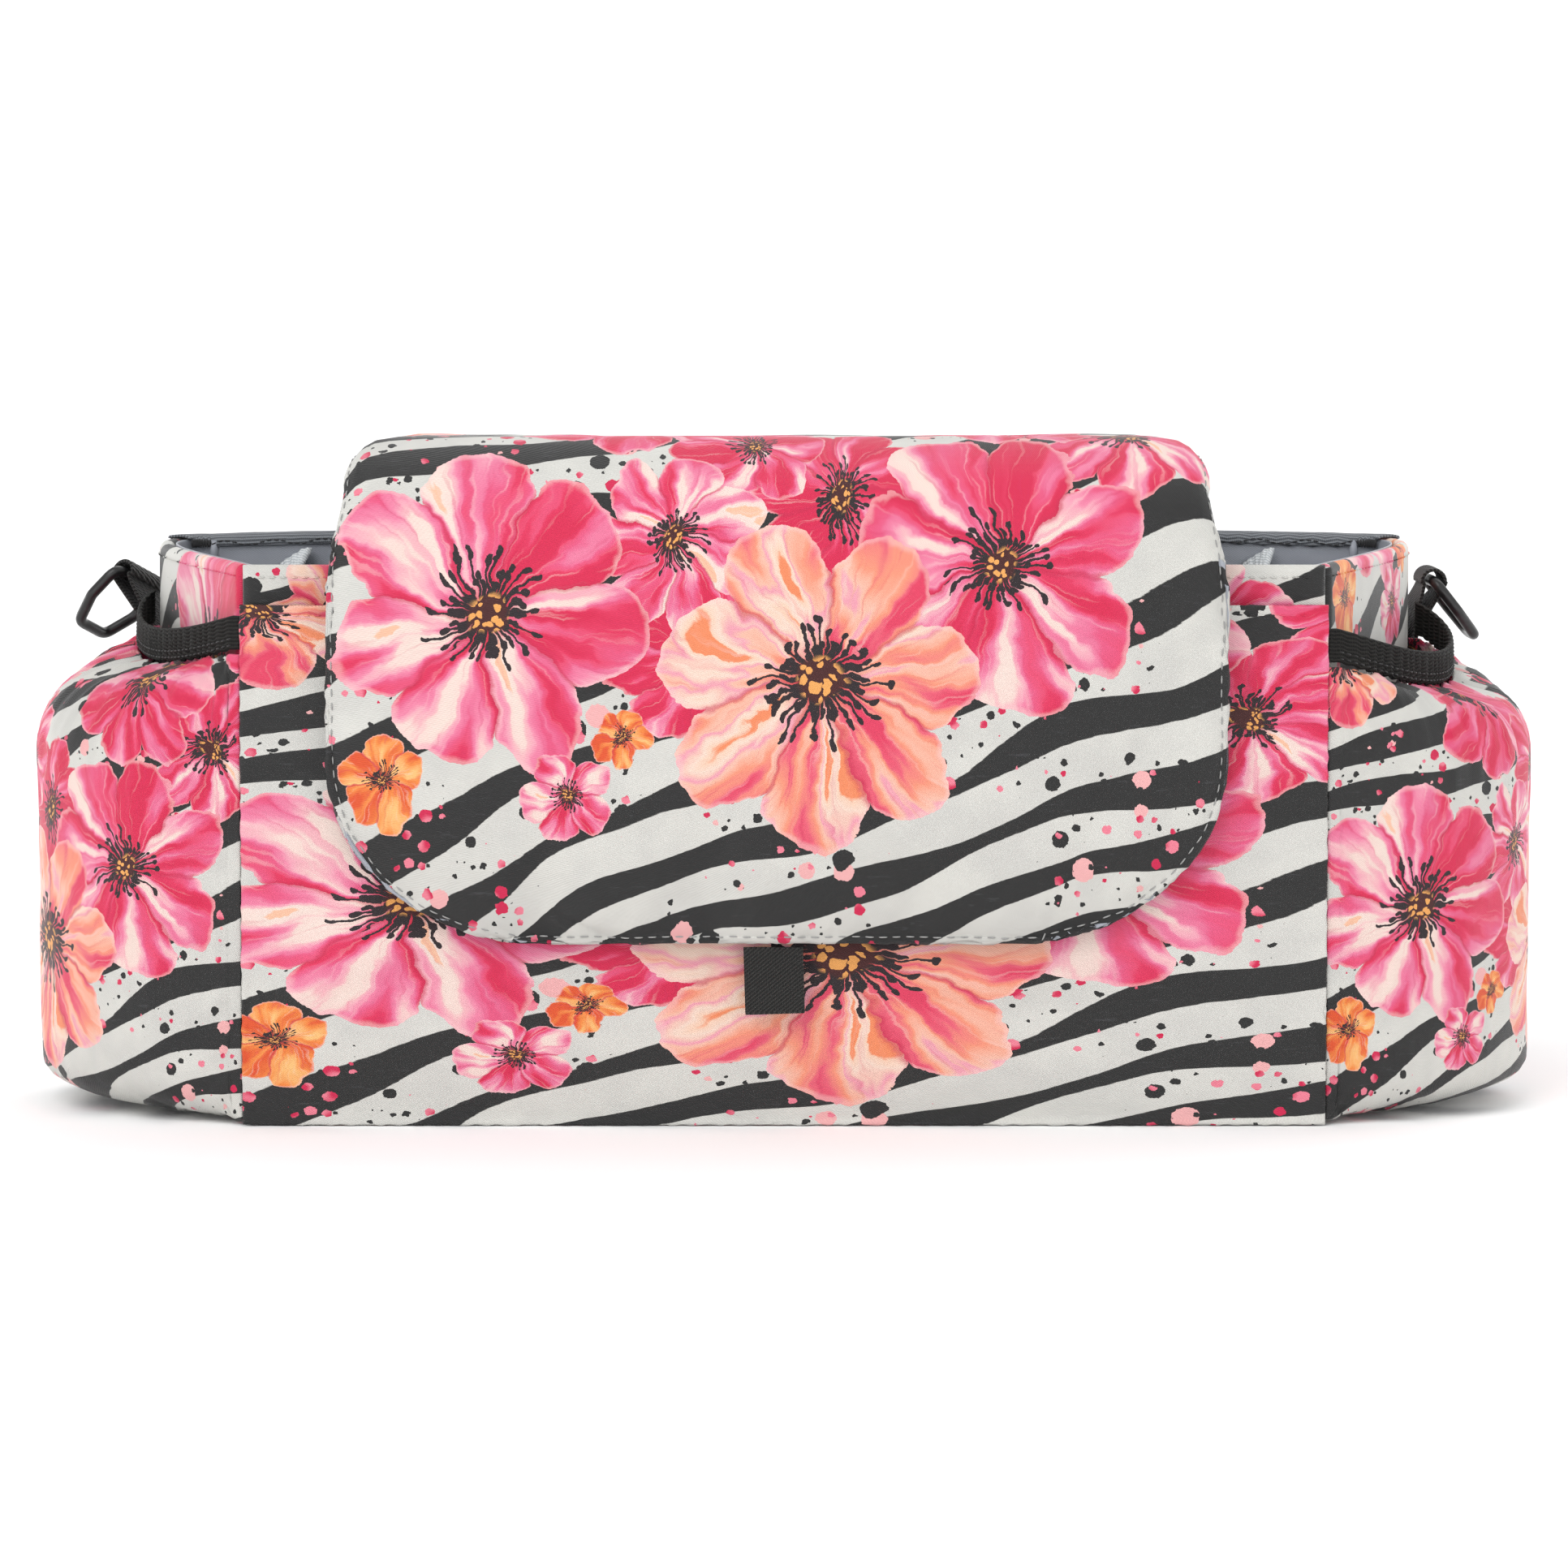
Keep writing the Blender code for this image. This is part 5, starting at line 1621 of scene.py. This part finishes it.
def build_wall_seams():
    """Stitches round the rim of the front and end walls."""
    for name, side in SIDES.items():
        t = np.linspace(end_start(0.0, FRONT_Y + 0.006), 0.99, 160)
        points, out = end_curve(side, t)
        line = points + out * 0.00005 + UP * (RIM_Z - RIM_SEAM)
        arc = lengths(points)
        design = np.stack(end_design(side, arc, np.full(160, RIM_Z - RIM_SEAM)), axis=1)
        rows = [(line, out, design)]
        stitch_rows(f"{name}_rim_stitches", rows, PRINT, SEAM_STITCH)
    x = np.linspace(-FRONT_HALF + 0.004, FRONT_HALF - 0.004, 200)
    line = np.stack([x, np.full(200, FRONT_Y - 0.00005), np.full(200, RIM_Z - RIM_SEAM)], axis=1)
    design = np.stack([line[:, 0] * 1000 + 8, line[:, 2] * 1000 + 96], axis=1)
    rows = [(line, (0.0, -1.0, 0.0), design)]
    stitch_rows("front_rim_stitches", rows, PRINT, SEAM_STITCH)


# ---------------------------------------------------------------- stage


FLOOR_RADIUS = 12.0
FLOOR_Z = -0.0004
FLOOR_SPOKES = 64
BACKDROP_HEIGHT = 2.6
SURROUND_LIGHT = 0.70
# Lamps: direction, strength and spread in degrees
SUNS = {
    "key": ((0.55, 0.80, -0.95), 1.35, 45.0),
    "fill": ((-0.80, 0.70, -0.60), 0.40, 60.0),
    "rear": ((-0.30, -0.75, -0.95), 0.75, 50.0),
}
# The camera's distance, its tilt in degrees, the height it looks at and its lens in mm
VIEW_DISTANCE = 2.2
VIEW_TILT = 5.5
VIEW_Z = 0.0958
VIEW_LENS = 181.0


def sun(name, direction, strength, spread):
    """A soft distant light that shines along a direction."""
    data = bpy.data.lights.new(name, "SUN")
    data.energy, data.angle = strength, math.radians(spread)
    made = bpy.data.objects.new(name, data)
    made.rotation_euler = Vector(direction).to_track_quat("-Z", "Y").to_euler()
    bpy.context.scene.collection.objects.link(made)


def backdrop_finish():
    """An evenly lit white wall."""
    f = Finish("pale_backdrop", roughness=1.0, specular=0.0)
    f.colour(srgb(250, 250, 250))
    f.finish_input("Emission Color", (1.0, 1.0, 1.0, 1.0))
    f.finish_input("Emission Strength", 1.0)
    return f.material


def stage_piece(name, points, faces, finish):
    """A mesh of the stage, which isn't part of the caddy."""
    mesh = bpy.data.meshes.new(name)
    mesh.from_pydata(points, [], faces)
    mesh.materials.append(finish)
    made = bpy.data.objects.new(name, mesh)
    bpy.context.scene.collection.objects.link(made)


def build_stage():
    """A wide pale floor, a white wall far round it, soft lights and the camera."""
    count = FLOOR_SPOKES
    turns = [TAU * k / count for k in range(count)]
    low = [(FLOOR_RADIUS * math.cos(turn), FLOOR_RADIUS * math.sin(turn), FLOOR_Z) for turn in turns]
    faces = [(0, 1 + k, 1 + (k + 1) % count) for k in range(count)]
    stage_piece("floor", [(0.0, 0.0, FLOOR_Z)] + low, faces, floor_finish())
    high = [(x, y, BACKDROP_HEIGHT) for x, y, _ in low]
    faces = [(k, count + k, count + (k + 1) % count, (k + 1) % count) for k in range(count)]
    stage_piece("backdrop", low + high, faces, backdrop_finish())
    world = bpy.data.worlds.new("surround")
    world.use_nodes = True
    world.node_tree.nodes["Background"].inputs[0].default_value = (1.0, 1.0, 1.0, 1.0)
    world.node_tree.nodes["Background"].inputs[1].default_value = SURROUND_LIGHT
    bpy.context.scene.world = world
    for name, values in SUNS.items():
        sun(name, *values)
    lens = bpy.data.cameras.new("camera")
    lens.lens, lens.sensor_width = VIEW_LENS, 36.0
    lens.clip_start, lens.clip_end = 0.05, 60.0
    camera = bpy.data.objects.new("camera", lens)
    target = Vector((0.0, FRONT_Y, VIEW_Z))
    tilt = math.radians(VIEW_TILT)
    camera.location = target + Vector((0.0, -math.cos(tilt), math.sin(tilt))) * VIEW_DISTANCE
    camera.rotation_euler = (target - camera.location).to_track_quat("-Z", "Y").to_euler()
    bpy.context.scene.collection.objects.link(camera)
    bpy.context.scene.camera = camera
    bpy.context.scene.view_settings.view_transform = "Standard"


build_stage()
build_walls()
build_lining()
build_binding()
build_front_pocket()
for label, way in SIDES.items():
    build_side_pocket(label, way)
    build_elastic(label, way)
    build_divider(label)
    build_ring(label)
    build_ring_loop(label)
    build_strap(label)
build_flap()
build_closure()
build_pull_tab()
build_wall_seams()

bpy.context.view_layer.update()
